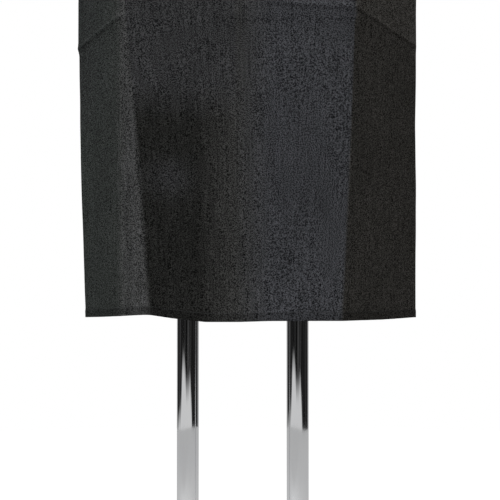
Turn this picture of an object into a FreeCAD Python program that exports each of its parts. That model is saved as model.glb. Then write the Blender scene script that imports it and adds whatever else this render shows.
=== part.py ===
"""Gas patio heater: twin posts on a tank housing, a half-round burner head and a fabric head cover.

Millimetres, +Z up. The origin is on the floor, midway between the posts; the heater throws its
heat towards -Y. Every size is a named cell of the Sizes sheet, and the pieces follow the cells.
"""

import FreeCAD, Part
import math
import os
import re

import Sketcher

SIZES = [
    # posts
    ("post_spacing", 254, "between the two post centres"),
    ("post_diameter", 50.8, "outside of a post tube"),
    ("post_wall", 1.5, "wall of a post tube"),
    ("post_length", 776, "from the post bracket to the head bracket"),
    ("spigot_gap", 0.3, "radial gap between a post and the spigot inside it"),
    ("spigot_wall", 2, "wall of a spigot"),
    ("spigot_length", 76, "how far a spigot reaches into its post"),
    ("collar_height", 14, "trim collar round a post"),
    # base
    ("base_height", 45, "floor to the top of the base pan"),
    ("base_front_width", 400, "front edge of the base"),
    ("base_side_margin", 65, "housing to the widest part of the base, each side"),
    ("base_rear_width", 280, "rear edge of the base"),
    ("base_front_margin", 55, "housing to the base's front edge"),
    ("base_front_shoulder", 40, "origin forward to where the front taper ends"),
    ("base_rear_shoulder", 60, "origin back to where the rear taper starts"),
    ("base_sheet", 2.5, "steel of the base pan"),
    ("base_lip", 27.5, "how far the pan's bottom lip turns in"),
    ("foot_height", 6, "rubber foot under the lip"),
    ("foot_radius", 11, "rubber foot"),
    ("ballast_thick", 8, "steel ballast plate under the pan's top"),
    ("ballast_inset", 40, "ballast plate's edge in from the pan's edge"),
    # wheels
    ("wheel_radius", 46, "outside of the tyre"),
    ("hub_radius", 34, "outside of the wheel's hub"),
    ("wheel_width", 30, "width of a wheel"),
    ("wheel_inner_face", 202, "centre line to a wheel's inner face"),
    ("wheel_floor_gap", 2, "tyre to the floor while the heater stands"),
    ("axle_radius", 6, "axle rod"),
    ("axle_behind_base", 9, "base's rear edge to the axle centre"),
    ("bracket_face", 135, "centre line to a wheel bracket's outer face"),
    ("bracket_steel", 3, "steel of the wheel brackets"),
    # tank frame
    ("leg_radius", 12.7, "outside of a frame leg"),
    ("leg_wall", 1.5, "wall of a frame leg"),
    ("leg_plug", 25, "threaded plug in each end of a leg"),
    ("leg_gap", 17.3, "gas cylinder to a frame leg"),
    ("bolt_radius", 4, "frame bolts, M8"),
    ("bolt_gap", 0.1, "radial gap round a frame bolt"),
    ("bracket_plate", 4, "post bracket and head bracket plates"),
    ("bracket_margin", 18, "a leg's centre to the post bracket plate's edge"),
    ("bracket_level", 700, "top of the post bracket plate"),
    # tank housing and door
    ("housing_gap", 15.8, "a frame leg to the housing's inside"),
    ("housing_sheet", 1.5, "steel of the housing, lid and door"),
    ("housing_top", 722, "top edge of the housing"),
    ("lid_rim", 14, "depth of the lid's rim"),
    ("lid_gap", 0.3, "radial gap between the lid's rim and the housing"),
    ("door_sill", 78, "bottom of the door opening"),
    ("door_opening_height", 600, "height of the door opening"),
    ("door_opening_angle", 100, "degrees that the door opening spans"),
    ("door_overlap", 10, "how far the door laps over the housing at top and bottom"),
    ("door_gap", 1.5, "radial gap between the housing and the door"),
    ("hinge_pin_radius", 2, "hinge pin"),
    ("knuckle_radius", 5, "outside of a hinge knuckle"),
    ("knuckle_length", 22, "length of one hinge knuckle"),
    ("hinge_from_end", 90, "door's end to the middle of a hinge"),
    # gas cylinder
    ("tank_radius", 155, "gas cylinder"),
    ("tank_wall", 3, "gas cylinder's steel"),
    ("tank_dome", 65, "height of each domed end"),
    ("tank_body", 230, "straight part of the cylinder"),
    ("tank_foot", 80, "base pan to the start of the straight part"),
    ("collar_radius", 98, "outside of the cylinder's guard collar"),
    ("tank_height", 457, "base pan to the top of the guard collar"),
    ("valve_level", 405, "base pan to the valve outlet's centre"),
    ("regulator_out", 118, "cylinder axis to the regulator's centre"),
    ("hose_radius", 7, "gas hose"),
    # head
    ("box_front_width", 250, "control box's front"),
    ("box_width", 400, "control box's back"),
    ("box_front", 120, "posts' plane to the control box's front"),
    ("box_shoulder", 60, "posts' plane back to where the control box's taper ends"),
    ("box_back", 120, "posts' plane to the control box's back"),
    ("box_height", 130, "height of the control box"),
    ("box_sheet", 1.2, "steel of the control box and the hood"),
    ("deck_thick", 1.5, "burner deck and control panel"),
    ("panel_margin", 6, "control panel's edge in from the box's edge"),
    ("knob_radius", 26, "control knob"),
    ("stem_radius", 4, "gas valve's stem"),
    ("button_radius", 9, "igniter button"),
    ("control_offset", 58, "centre line to the igniter button"),
    ("burner_tube_radius", 19, "mixing tube of the burner"),
    ("burner_radius", 70, "burner drum"),
    ("emitter_radius", 108, "perforated emitter screen"),
    ("emitter_height", 282, "emitter screen"),
    ("emitter_sheet", 1, "emitter screen, its cap and the back reflector"),
    ("reflector_radius", 470, "curve of the back reflector"),
    ("reflector_half_width", 310, "centre line to the back reflector's edge"),
    ("reflector_height", 370, "back reflector"),
    ("guard_wire", 2, "radius of a guard wire"),
    ("hood_front_width", 496, "hood's front"),
    ("hood_width", 812, "hood's back"),
    ("hood_front", 225, "posts' plane to the hood's front"),
    ("hood_shoulder", 155, "posts' plane back to where the hood's taper ends"),
    ("hood_back", 225, "posts' plane to the hood's back"),
    ("hood_rim", 2000, "floor to the hood's rim"),
    ("hood_skirt", 130, "upright part of the hood"),
    ("hood_rise", 70, "sloping part of the hood"),
    ("hood_slope_run", 115, "how far the slope comes in at the front and sides"),
    ("hood_slope_rear", 25, "how far the slope comes in at the back"),
    ("liner_level", 50, "hood's rim to the liner"),
    ("liner_inset", 14, "liner's edge in from the hood's edge"),
    ("stud_radius", 4, "hood studs"),
    ("stud_ring", 70, "emitter's axis to a hood stud"),
    # cover
    ("cover_gap", 4, "cover's inside to the hood"),
    ("cover_cloth", 4, "cover's wall with its folds"),
    ("cover_top_gap", 0.3, "stud nuts to the cover's inside"),
    ("cover_drop", 655, "hood's rim down to the cover's hem"),
    ("nut_height", 12, "cap nut on a hood stud"),
]

doc = FreeCAD.newDocument("outdoor_heater")
sheet = doc.addObject("Spreadsheet::Sheet", "Sizes")
for row, (alias, number, note) in enumerate(SIZES, start=1):
    sheet.set(f"A{row}", alias)
    sheet.set(f"B{row}", str(number))
    sheet.set(f"C{row}", note)
    sheet.setAlias(f"B{row}", alias)
doc.recompute()

ALIASES = {alias for alias, _, _ in SIZES}
# Sizes that follow others: the gas cylinder sets the legs' ring, which sets the housing, which
# sets the base. A later line may be part of an earlier one.
FOLLOWS = {
    "base_front": "(housing_radius + base_front_margin)",
    "base_rear": "housing_radius",
    "base_width": "(2 * (housing_radius + base_side_margin))",
    "housing_radius": "(leg_ring_radius + leg_radius + housing_gap + housing_sheet)",
    "bracket_radius": "(leg_ring_radius + bracket_margin)",
    "leg_ring_radius": "(tank_radius + leg_gap + leg_radius)",
}
PARTS = []  # the finished sub-parts, in the order they are made


# ---- how pieces are made --------------------------------------------------------------------


def size(alias):
    """The number in a cell, for the pieces that are swept along a path."""
    return float(getattr(sheet, alias))


def formula(text):
    """The text with each following size written out, and each alias turned into its cell."""
    text = str(text)
    for word, meaning in FOLLOWS.items():
        text = re.sub(rf"\b{word}\b", meaning, text)
    return re.sub(r"[a-z_]+", lambda m: f"Sizes.{m[0]}" if m[0] in ALIASES else m[0], text)


def bind(thing, **formulas):
    """Binds properties to formulas: Placement__Base__x is the property Placement.Base.x."""
    for name, text in formulas.items():
        thing.setExpression(name.replace("__", "."), formula(text))
    return thing


def place(thing, x=0, y=0, z=0):
    return bind(thing, Placement__Base__x=x, Placement__Base__y=y, Placement__Base__z=z)


TURNS = {
    "+x": FreeCAD.Rotation(FreeCAD.Vector(0, 1, 0), 90),
    "-x": FreeCAD.Rotation(FreeCAD.Vector(0, 1, 0), -90),
    "+y": FreeCAD.Rotation(FreeCAD.Vector(1, 0, 0), -90),
    "-y": FreeCAD.Rotation(FreeCAD.Vector(1, 0, 0), 90),
    "+z": FreeCAD.Rotation(),
    "-z": FreeCAD.Rotation(FreeCAD.Vector(1, 0, 0), 180),
}


def aim(thing, along):
    """Turns a primitive so that its own Z axis points along the named row axis."""
    thing.Placement = FreeCAD.Placement(FreeCAD.Vector(), TURNS[along])
    return thing


def cylinder(radius, height, x=0, y=0, z=0, along="+z"):
    made = aim(doc.addObject("Part::Cylinder", "Round"), along)
    return place(bind(made, Radius=radius, Height=height), x, y, z)


def cone(near, far, height, x=0, y=0, z=0, along="+z"):
    made = aim(doc.addObject("Part::Cone", "Taper"), along)
    return place(bind(made, Radius1=near, Radius2=far, Height=height), x, y, z)


def hexagon(radius, height, x=0, y=0, z=0, along="+z"):
    made = aim(doc.addObject("Part::Prism", "Hexagon"), along)
    return place(bind(made, Circumradius=radius, Height=height), x, y, z)


def torus(ring, wire, x=0, y=0, z=0, along="+z"):
    made = aim(doc.addObject("Part::Torus", "Ring"), along)
    return place(bind(made, Radius1=ring, Radius2=wire), x, y, z)


def box(length, width, height, x=0, y=0, z=0):
    """A block centred on x and y, standing on z."""
    made = bind(doc.addObject("Part::Box", "Block"), Length=length, Width=width, Height=height)
    return place(made, f"{x} - ({length}) / 2", f"{y} - ({width}) / 2", z)


def sector(radius, height, middle, span, x=0, y=0, z=0):
    """A slice of a cylinder: middle is the angle of its centre line from +X, in degrees."""
    made = bind(doc.addObject("Part::Cylinder", "Slice"), Radius=radius, Height=height, Angle=span)
    bind(made, Placement__Rotation__Angle=f"{middle} - ({span}) / 2")
    return place(made, x, y, z)


def cut(base, *tools):
    tool = tools[0] if len(tools) == 1 else fuse(*tools)
    made = doc.addObject("Part::Cut", "Cut")
    made.Base, made.Tool = base, tool
    return made


def fuse(*shapes):
    made = doc.addObject("Part::MultiFuse", "Fuse")
    made.Shapes = list(shapes)
    return made


def group(*shapes):
    made = doc.addObject("Part::Compound", "Group")
    made.Links = list(shapes)
    return made


def tube(outer, inner, height, x=0, y=0, z=0, along="+z"):
    return cut(cylinder(outer, height, x, y, z, along), cylinder(inner, height, x, y, z, along))


def sub_part(name, thing):
    """Names a finished piece, which is written to parts/name.step."""
    thing.Label = name
    PARTS.append(thing)
    return thing


def body_sketch(body, plane, corners, level="0"):
    """A closed outline in a body: each corner is a pair of formulas, tied to the sketch's origin."""
    made = body.newObject("Sketcher::SketchObject", "Outline")
    role = {f.Role: f for f in body.Origin.OriginFeatures}
    made.AttachmentSupport, made.MapMode = [(role[plane], "")], "FlatFace"
    bind(made, AttachmentOffset__Base__z=level)
    count = len(corners)
    start = [
        FreeCAD.Vector(math.cos(k * 2 * math.pi / count), math.sin(k * 2 * math.pi / count), 0)
        for k in range(count)
    ]
    for k in range(count):
        made.addGeometry(Part.LineSegment(start[k], start[(k + 1) % count]), False)
    for k in range(count):
        made.addConstraint(Sketcher.Constraint("Coincident", k, 2, (k + 1) % count, 1))
    for k, (x, y) in enumerate(corners):
        for kind, guess, text in (("DistanceX", start[k].x, x), ("DistanceY", start[k].y, y)):
            index = made.addConstraint(Sketcher.Constraint(kind, -1, 1, k, 1, guess))
            made.setExpression(f"Constraints[{index}]", formula(text))
    return made


def feature(body, kind, profile, **formulas):
    made = body.newObject(f"PartDesign::{kind}", kind)
    made.Profile = profile
    return bind(made, **formulas)


def new_body(name):
    body = doc.addObject("PartDesign::Body", "Body")
    body.Label = f"{name}_blank"
    return body


def drilled(name, body, *holes):
    """The finished sub-part: a body with its round holes cut through."""
    doc.recompute()
    return sub_part(name, cut(body, *holes))


def revolved(name, outline, x=0, y=0, z=0):
    """A turned piece: the outline's corners are (radius, height) pairs."""
    body = place(new_body(name), x, y, z)
    turned = feature(body, "Revolution", body_sketch(body, "XZ_Plane", outline), Angle=360)
    turned.ReferenceAxis = (turned.Profile[0], ["V_Axis"])
    doc.recompute()
    return body


def loft(body, kind, lower, low, upper, high):
    """A loft in a body between two outlines with the same number of corners."""
    made = body.newObject(f"PartDesign::{kind}", kind)
    made.Profile = body_sketch(body, "XY_Plane", lower, low)
    made.Sections = [(body_sketch(body, "XY_Plane", upper, high), [""])]
    made.Ruled = True
    return made


def pocket(body, outline, top, depth):
    """Cuts an outline out of a body, from the level top down by depth."""
    made = feature(body, "Pocket", body_sketch(body, "XY_Plane", outline, top), Length=depth)
    return made


def mirrored(half):
    """A whole outline from its right half, given from the front edge round to the rear edge."""
    return half + [(f"-({x})", y) for x, y in reversed(half)]


def taper(end_half, wide_half, end, shoulder, inset):
    """The two right-hand corners of a slanting side, with every edge moved in by inset. The end
    is in front of the shoulder where its y is less, and behind it where its y is more."""
    run = f"abs(({shoulder}) - ({end}))"
    slope = f"((({wide_half}) - ({end_half})) / {run})"
    stretch = f"sqrt(1 + {slope} ^ 2)"
    sign = f"(({shoulder}) - ({end})) / {run}"
    corner = f"({end_half}) + ({inset}) * ({slope} - {stretch})"
    side = f"({shoulder}) + {sign} * ({inset}) * ({stretch} - 1) / {slope}"
    return (corner, f"({end}) + {sign} * ({inset})"), (f"({wide_half}) - ({inset})", side)


def half_hexagon(name, inset, rear_inset):
    """Narrow front, slanting sides, square back: the plan of the hood and of the control box."""
    front_half, half = f"{name}_front_width / 2", f"{name}_width / 2"
    first, second = taper(front_half, half, f"-{name}_front", f"{name}_shoulder", inset)
    return mirrored([first, second, (f"{half} - ({inset})", f"{name}_back - ({rear_inset})")])


def hood_plan(inset="0", rear_inset=None):
    return half_hexagon("hood", inset, rear_inset or inset)


def box_plan(inset="0"):
    return half_hexagon("box", inset, inset)


def base_plan(inset="0"):
    front = taper(
        "base_front_width / 2", "base_width / 2", "-base_front", "-base_front_shoulder", inset
    )
    rear = taper("base_rear_width / 2", "base_width / 2", "base_rear", "base_rear_shoulder", inset)
    return mirrored([*front, rear[1], rear[0]])


def rounded_path(points):
    """Straight runs joined by tangent arcs that are as large as their two runs allow."""
    points = [FreeCAD.Vector(*p) for p in points]
    edges, start = [], points[0]
    for before, corner, after in zip(points, points[1:], points[2:]):
        into, out = corner - before, after - corner
        turn = into.getAngle(out)
        reach = 0.45 * min(into.Length, out.Length)
        radius = reach / math.tan(turn / 2)
        arc_start = corner - into.normalize() * reach
        arc_end = corner + out.normalize() * reach
        inward = (out - into).normalize()
        middle = corner + inward * (radius / math.cos(turn / 2) - radius)
        edges.append(Part.LineSegment(start, arc_start).toShape())
        edges.append(Part.Arc(arc_start, middle, arc_end).toShape())
        start = arc_end
    edges.append(Part.LineSegment(start, points[-1]).toShape())
    return Part.Wire(edges)


def swept_solid(points, radius):
    """A round bar, hose or lead along a rounded path."""
    path = rounded_path(points)
    first = FreeCAD.Vector(*points[0])
    heading = (FreeCAD.Vector(*points[1]) - first).normalize()
    ring = Part.Wire([Part.makeCircle(radius, first, heading)])
    return path.makePipeShell([ring], True, False)


def swept(name, points, radius):
    made = doc.addObject("Part::Feature", name)
    made.Shape = swept_solid(points, radius)
    return sub_part(name, made)


def bolt(x, y, z, along, length, radius="bolt_radius", head="bolt_radius * 1.75"):
    """A hexagon bolt whose head stands on z and whose shank runs along the named axis."""
    back = along.replace("+", "~").replace("-", "+").replace("~", "-")
    depth = f"({radius}) * 1.3"
    return fuse(cylinder(radius, length, x, y, z, along), hexagon(head, depth, x, y, z, back))


def pan_screw(x, y, z, along, length, radius=2):
    """A pan-head screw whose shank runs along the named axis from the face it clamps."""
    back = along.replace("+", "~").replace("-", "+").replace("~", "-")
    head = cone(f"({radius}) * 2", f"({radius}) * 1.3", f"({radius}) * 1.1", x, y, z, back)
    return fuse(cylinder(radius, length, x, y, z, along), head)


SHEET_SCREWS = []  # the pan-head screws that hold sheet metal, all of one size
HEAD_SCREWS = []  # the hexagon bolts of the head, all of one size


def sheet_screw(x, y, z, along):
    """Adds a sheet-metal screw and gives back the clearance hole that it needs."""
    SHEET_SCREWS.append(pan_screw(x, y, z, along, "3.9"))
    start = {"+x": (-2, 0, 0), "-x": (2, 0, 0), "+y": (0, -2, 0), "-y": (0, 2, 0), "-z": (0, 0, 2)}[along]
    x, y, z = (f"({value}) + ({shift})" for value, shift in zip((x, y, z), start))
    return cylinder(f"2 + {HOLE_GAP}", "8", x, y, z, along)


def head_bolt(x, y, z, along):
    """Adds a bolt of the head and gives back the clearance hole that it needs."""
    HEAD_SCREWS.append(bolt(x, y, z, along, "bracket_plate + box_sheet + 8", "3", "5.5"))
    y, z = (f"({y}) + 2", z) if along == "-y" else (y, f"({z}) - 2")
    return cylinder(f"3 + {HOLE_GAP}", "12", x, y, z, along)


POST_X = "post_spacing / 2"
SIDES = (("left", "-"), ("right", ""))
LEG_ANGLES = (-19, 199, 60, 120)  # clear of the door opening at the front
LEGS = [(f"leg_ring_radius * cos({a})", f"leg_ring_radius * sin({a})") for a in LEG_ANGLES]
POST_INNER = "(post_diameter / 2 - post_wall)"
SPIGOT = f"({POST_INNER} - spigot_gap)"
HEAD_LEVEL = "(bracket_level + post_length)"  # underside of the head bracket
BOX_FLOOR = f"({HEAD_LEVEL} + bracket_plate)"
DECK = f"({BOX_FLOOR} + box_height)"  # underside of the burner deck
DECK_TOP = f"({DECK} + deck_thick)"
CAP = f"({DECK_TOP} + emitter_height)"  # top of the emitter screen
HOOD_TOP = "(hood_rim + hood_skirt + hood_rise)"
LINER = "(hood_rim + liner_level)"
HOLE_GAP = "0.3"  # round a screw or a stud in sheet metal


# ---- base -----------------------------------------------------------------------------------


def base_pan():
    """Pressed pan, open below, with a lip turned in at the bottom that carries the feet."""
    body = new_body("base_pan")
    feature(
        body,
        "Pad",
        body_sketch(body, "XY_Plane", base_plan(), "foot_height"),
        Length="base_height - foot_height",
    )
    pocket(
        body,
        base_plan("base_sheet"),
        "base_height - base_sheet",
        "base_height - foot_height - 2 * base_sheet",
    )
    pocket(body, base_plan("base_lip"), "foot_height + base_sheet", "base_sheet + 1")
    holes = [
        cylinder("bolt_radius + bolt_gap", "base_sheet + 2", x, y, "base_height - base_sheet - 1")
        for x, y in LEGS
    ]
    housing_screws = [sheet_screw(x, y, "base_height + housing_sheet", "-z") for x, y in HOUSING_SCREWS]
    drilled("base_pan", body, *holes, *housing_screws)
    return housing_screws


def base_details():
    feet = []
    corner = "(base_lip / 2)"
    for x, y in (
        (f"base_front_width / 2 - 1.2 * {corner}", f"-base_front + {corner}"),
        (f"base_width / 2 - {corner}", "(base_rear_shoulder - base_front_shoulder) / 2"),
        (f"base_rear_width / 2 - 1.2 * {corner}", f"base_rear - {corner}"),
    ):
        for _, sign in SIDES:
            disc = cone("foot_radius - 1.5", "foot_radius", "foot_height", f"{sign}({x})", y, 0)
            feet.append(disc)
    sub_part("base_feet", group(*feet))

    body = new_body("ballast_plate")
    level = "base_height - base_sheet - ballast_thick"
    outline = body_sketch(body, "XY_Plane", base_plan("ballast_inset"), level)
    feature(body, "Pad", outline, Length="ballast_thick")
    holes = [
        cylinder("bolt_radius + bolt_gap", "ballast_thick + 2", x, y, f"{level} - 1") for x, y in LEGS
    ]
    drilled("ballast_plate", body, *holes)


def wheels():
    """Two wheels on one axle behind the base: they carry the heater only when it is tipped back."""
    y, z = "base_rear + axle_behind_base", "wheel_radius + wheel_floor_gap"
    width = "2 * (wheel_inner_face + wheel_width + 8)"
    rod = cylinder("axle_radius", width, f"-({width}) / 2", y, z, "+x")
    sub_part("wheel_axle", rod)

    ears = []
    for _, sign in SIDES:
        face = f"{sign}(bracket_face - bracket_steel / 2)"
        ear = fuse(
            box("bracket_steel", "axle_behind_base * 2 + 6", "base_height - foot_height",
                face, "base_rear + axle_behind_base + 3", "foot_height + 2"),
            cylinder("axle_radius + 7", "bracket_steel", f"{face} - bracket_steel / 2", y, z, "+x"),
        )
        behind = box("bracket_steel", "40", "120", face, "base_rear - 20", "0")
        foot = box("34", "bracket_steel", "base_height - foot_height - 14",
                   f"{sign}(bracket_face - 17)", "base_rear + bracket_steel / 2", "foot_height + 4")
        hole = cylinder("axle_radius + 0.05", "bracket_steel + 2",
                        f"{face} - bracket_steel / 2 - 1", y, z, "+x")
        ears.append(cut(fuse(cut(ear, behind), foot), hole))
    sub_part("wheel_brackets", group(*ears))

    caps = []
    sleeve = "wheel_inner_face - bracket_face - 0.5"
    for name, sign in SIDES:
        inner, outer = "wheel_inner_face", "(wheel_inner_face + wheel_width)"
        start = inner if sign == "" else f"-{outer}"
        hub = cut(
            fuse(
                tube("hub_radius", "hub_radius - 4", "wheel_width", start, y, z, "+x"),
                cylinder("hub_radius - 2", "6", f"{start} + wheel_width / 2 - 3", y, z, "+x"),
                cylinder("axle_radius + 6", "wheel_width", start, y, z, "+x"),
                cylinder("axle_radius + 3", sleeve, "bracket_face + 0.5" if sign == "" else f"-{inner}",
                         y, z, "+x"),
            ),
            cylinder("axle_radius + 0.05", width, f"-({width}) / 2", y, z, "+x"),
        )
        sub_part(f"wheel_hub_{name}", hub)
        tyre = tube("wheel_radius", "hub_radius", "wheel_width", start, y, z, "+x")
        grooves = [
            tube("wheel_radius + 1", "wheel_radius - 2", "2.5", f"{start} + {k} * wheel_width / 4 - 1.25",
                 y, z, "+x")
            for k in (1, 2, 3)
        ]
        sub_part(f"wheel_tyre_{name}", cut(tyre, *grooves))
        cap_start = f"{outer} + 0.5" if sign == "" else f"-({outer} + 10)"
        shell = cylinder("axle_radius + 4", "9.5", cap_start, y, z, "+x")
        caps.append(cut(shell, cylinder("axle_radius", width, f"-({width}) / 2", y, z, "+x")))
    sub_part("axle_caps", group(*caps))


# ---- tank frame, housing and door -----------------------------------------------------------


def tank_frame():
    """Four legs that carry the post bracket over the gas cylinder, bolted top and bottom."""
    length = "(bracket_level - bracket_plate - base_height)"
    legs, bolts = [], []
    under = "base_height - base_sheet - ballast_thick"
    for x, y in LEGS:
        legs.append(
            cut(
                cylinder("leg_radius", length, x, y, "base_height"),
                cylinder("leg_radius - leg_wall", f"{length} - 2 * leg_plug", x, y,
                         "base_height + leg_plug"),
                cylinder("bolt_radius + bolt_gap", f"{length} + 2", x, y, "base_height - 1"),
            )
        )
        bolts.append(bolt(x, y, under, "+z", "base_sheet + ballast_thick + leg_plug - 6"))
        bolts.append(bolt(x, y, "bracket_level", "-z", "bracket_plate + leg_plug - 6"))
    sub_part("frame_legs", group(*legs))
    sub_part("frame_bolts", group(*bolts))

    plate = cylinder("bracket_radius", "bracket_plate", 0, 0, "bracket_level - bracket_plate")
    spigots = [
        cylinder(SPIGOT, "bracket_plate + spigot_length", f"{sign}{POST_X}", 0,
                 "bracket_level - bracket_plate")
        for _, sign in SIDES
    ]
    bores = [
        cylinder(f"{SPIGOT} - spigot_wall", "bracket_plate + spigot_length + 2", f"{sign}{POST_X}", 0,
                 "bracket_level - bracket_plate - 1")
        for _, sign in SIDES
    ]
    holes = [
        cylinder("bolt_radius + bolt_gap", "bracket_plate + 2", x, y, "bracket_level - bracket_plate - 1")
        for x, y in LEGS
    ]
    screw_holes = [
        cylinder(f"2.5 + {HOLE_GAP}", "30", f"{sign}{POST_X}", "10", "bracket_level + 10", "+y")
        for _, sign in SIDES
    ]
    sub_part("post_bracket", cut(fuse(plate, *spigots), *bores, *holes, *screw_holes))


HINGE_ANGLE = "(270 - door_opening_angle / 2 - 2.5)"  # on the heater's right, seen from the front
PIN_RING = "(housing_radius + door_gap + housing_sheet + 2.5)"
PIN_X, PIN_Y = f"{PIN_RING} * cos({HINGE_ANGLE})", f"{PIN_RING} * sin({HINGE_ANGLE})"
DOOR_INNER = "(housing_radius + door_gap)"
DOOR_BOTTOM = "(door_sill - door_overlap)"
DOOR_HEIGHT = "(door_opening_height + 2 * door_overlap)"
HINGE_LEVELS = (f"({DOOR_BOTTOM} + hinge_from_end)", f"({DOOR_BOTTOM} + {DOOR_HEIGHT} - hinge_from_end)")


def ring_slice(inner, outer, height, middle, span, z):
    """A curved strip that follows the housing."""
    return cut(sector(outer, height, middle, span, 0, 0, z),
               cylinder(inner, f"({height}) + 2", 0, 0, f"({z}) - 1"))


FLANGE_RING = "(housing_radius - housing_sheet - 5)"
HOUSING_SCREWS = [
    (f"{FLANGE_RING} * cos({angle})", f"{FLANGE_RING} * sin({angle})") for angle in (0, 75, 105, 180)
]


def housing(flange_holes):
    """Steel drum round the gas cylinder, screwed to the base, with a lid screwed over its top."""
    shell = tube("housing_radius", "housing_radius - housing_sheet", "housing_top - base_height",
                 0, 0, "base_height")
    flange = tube("housing_radius - housing_sheet / 2", "housing_radius - 12", "housing_sheet",
                  0, 0, "base_height")
    opening = sector("housing_radius + 20", "door_opening_height", 270, "door_opening_angle",
                     0, 0, "door_sill")
    vents = []
    for angle in range(50, 131, 10):
        slot = bind(doc.addObject("Part::Box", "Vent"), Length="40", Width="7", Height="60")
        bind(slot, Placement__Rotation__Angle=str(angle))
        place(slot, f"(housing_radius - 20) * cos({angle}) + 3.5 * sin({angle})",
              f"(housing_radius - 20) * sin({angle}) - 3.5 * cos({angle})", "base_height + 45")
        vents.append(slot)
    lid_outer = "(housing_radius + lid_gap + housing_sheet)"
    level = "housing_top - lid_rim / 2"
    lid_holes = [
        sheet_screw(lid_outer, 0, level, "-x"),
        sheet_screw(f"-{lid_outer}", 0, level, "+x"),
        sheet_screw(0, lid_outer, level, "-y"),
    ]
    sub_part("tank_housing", cut(fuse(shell, flange), opening, *vents, *flange_holes, *lid_holes))

    plate = cylinder(lid_outer, "housing_sheet", 0, 0, "housing_top")
    rim = tube(lid_outer, "housing_radius + lid_gap", "lid_rim + housing_sheet / 2", 0, 0,
               "housing_top - lid_rim")
    post_holes = [
        cylinder("post_diameter / 2 + 0.6", "housing_sheet + 2", f"{sign}{POST_X}", 0, "housing_top - 1")
        for _, sign in SIDES
    ]
    sub_part("housing_lid", cut(fuse(plate, rim), *post_holes, *lid_holes))

    rings = []
    for _, sign in SIDES:
        level = "housing_top + housing_sheet"
        outside = fuse(
            cylinder("post_diameter / 2 + 12", "3", f"{sign}{POST_X}", 0, level),
            cone("post_diameter / 2 + 12", "post_diameter / 2 + 3", "collar_height - 3",
                 f"{sign}{POST_X}", 0, f"{level} + 3"),
        )
        rings.append(cut(outside, cylinder("post_diameter / 2 + 0.1", "collar_height + 2",
                                           f"{sign}{POST_X}", 0, f"{level} - 1")))
    sub_part("post_collars", group(*rings))


def door():
    """A curved door that laps over the opening and turns on two hinges at its edge."""
    outer = f"({DOOR_INNER} + housing_sheet)"
    span = "(door_opening_angle + 5)"
    panel = ring_slice(DOOR_INNER, outer, DOOR_HEIGHT, 270, f"{span} - 0.3", DOOR_BOTTOM)
    knuckle_gap = 0.4
    slots, knuckles, leaves, pins = [], [], [], []
    for level in HINGE_LEVELS:
        low = f"{level} - 1.5 * knuckle_length"
        knuckles.append(cylinder("knuckle_radius", "knuckle_length", PIN_X, PIN_Y,
                                 f"{level} - 0.5 * knuckle_length"))
        for start in (low, f"{level} + 0.5 * knuckle_length"):
            slots.append(cylinder("knuckle_radius + 1", "knuckle_length + 7", PIN_X, PIN_Y,
                                  f"{start} - 3.5"))
            foot = start if start == low else f"{start} + {knuckle_gap}"
            height = f"knuckle_length - {knuckle_gap}"
            curl = cylinder("knuckle_radius", height, PIN_X, PIN_Y, foot)
            leaf = ring_slice("housing_radius", "housing_radius + housing_sheet", height,
                              f"{HINGE_ANGLE} - 3.5", "7", foot)
            hinge = cut(fuse(leaf, curl),
                        cylinder("housing_radius", "3 * knuckle_length", 0, 0, low),
                        cylinder("hinge_pin_radius + 0.02", "4 * knuckle_length", PIN_X, PIN_Y,
                                 f"{low} - knuckle_length / 2"))
            leaves.append(hinge)
        shank = cylinder("hinge_pin_radius", "3 * knuckle_length + 2", PIN_X, PIN_Y, f"{low} - 2")
        pin_head = cylinder("hinge_pin_radius + 1.5", "2", PIN_X, PIN_Y, f"{low} + 3 * knuckle_length")
        pins.append(fuse(shank, pin_head))
    bores = [cylinder("hinge_pin_radius + 0.05", f"{DOOR_HEIGHT}", PIN_X, PIN_Y, DOOR_BOTTOM),
             cylinder(DOOR_INNER, f"{DOOR_HEIGHT} + 2", 0, 0, f"{DOOR_BOTTOM} - 1")]
    sub_part("tank_door", cut(fuse(cut(panel, *slots), *knuckles), *bores))
    sub_part("door_hinges", group(*leaves))
    sub_part("hinge_pins", group(*pins))

    grip_angle = "(270 + door_opening_angle / 2 - 9)"
    grip_ring = f"({outer} + 24)"
    middle = f"{DOOR_BOTTOM} + {DOOR_HEIGHT} * 0.68"
    reach, thick = 90, 5
    upright = cylinder(thick, reach + 2 * thick, f"{grip_ring} * cos({grip_angle})",
                       f"{grip_ring} * sin({grip_angle})", f"{middle} - {reach / 2 + thick}")
    feet = []
    for level in (f"{middle} - {reach / 2}", f"{middle} + {reach / 2}"):
        foot = aim(doc.addObject("Part::Cylinder", "Round"), "+x")
        bind(foot, Radius=str(thick), Height=f"{grip_ring} - {outer} + 4")
        turned = doc.addObject("Part::Compound", "Turned")
        turned.Links = [foot]
        bind(turned, Placement__Rotation__Angle=grip_angle)
        place(turned, f"({outer} - 4) * cos({grip_angle})", f"({outer} - 4) * sin({grip_angle})", level)
        feet.append(turned)
    solid = fuse(upright, *feet)
    sub_part("door_handle", cut(solid, cylinder(outer, "housing_top", 0, 0, 0)))

    catch = "(270 + door_opening_angle / 2)"
    plate = ring_slice("housing_radius - housing_sheet - 1.5", "housing_radius - housing_sheet", "30",
                       catch, "10", middle)
    magnet = ring_slice("housing_radius - housing_sheet - 8", f"{DOOR_INNER} - 0.3", "30",
                        f"{catch} - 3", "3.5", middle)
    sub_part("door_catch", fuse(plate, magnet))


# ---- gas supply -----------------------------------------------------------------------------


VALVE = "(base_height + valve_level)"
TANK_LOW = "(base_height + tank_foot)"
TANK_HIGH = f"({TANK_LOW} + tank_body)"


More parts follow.
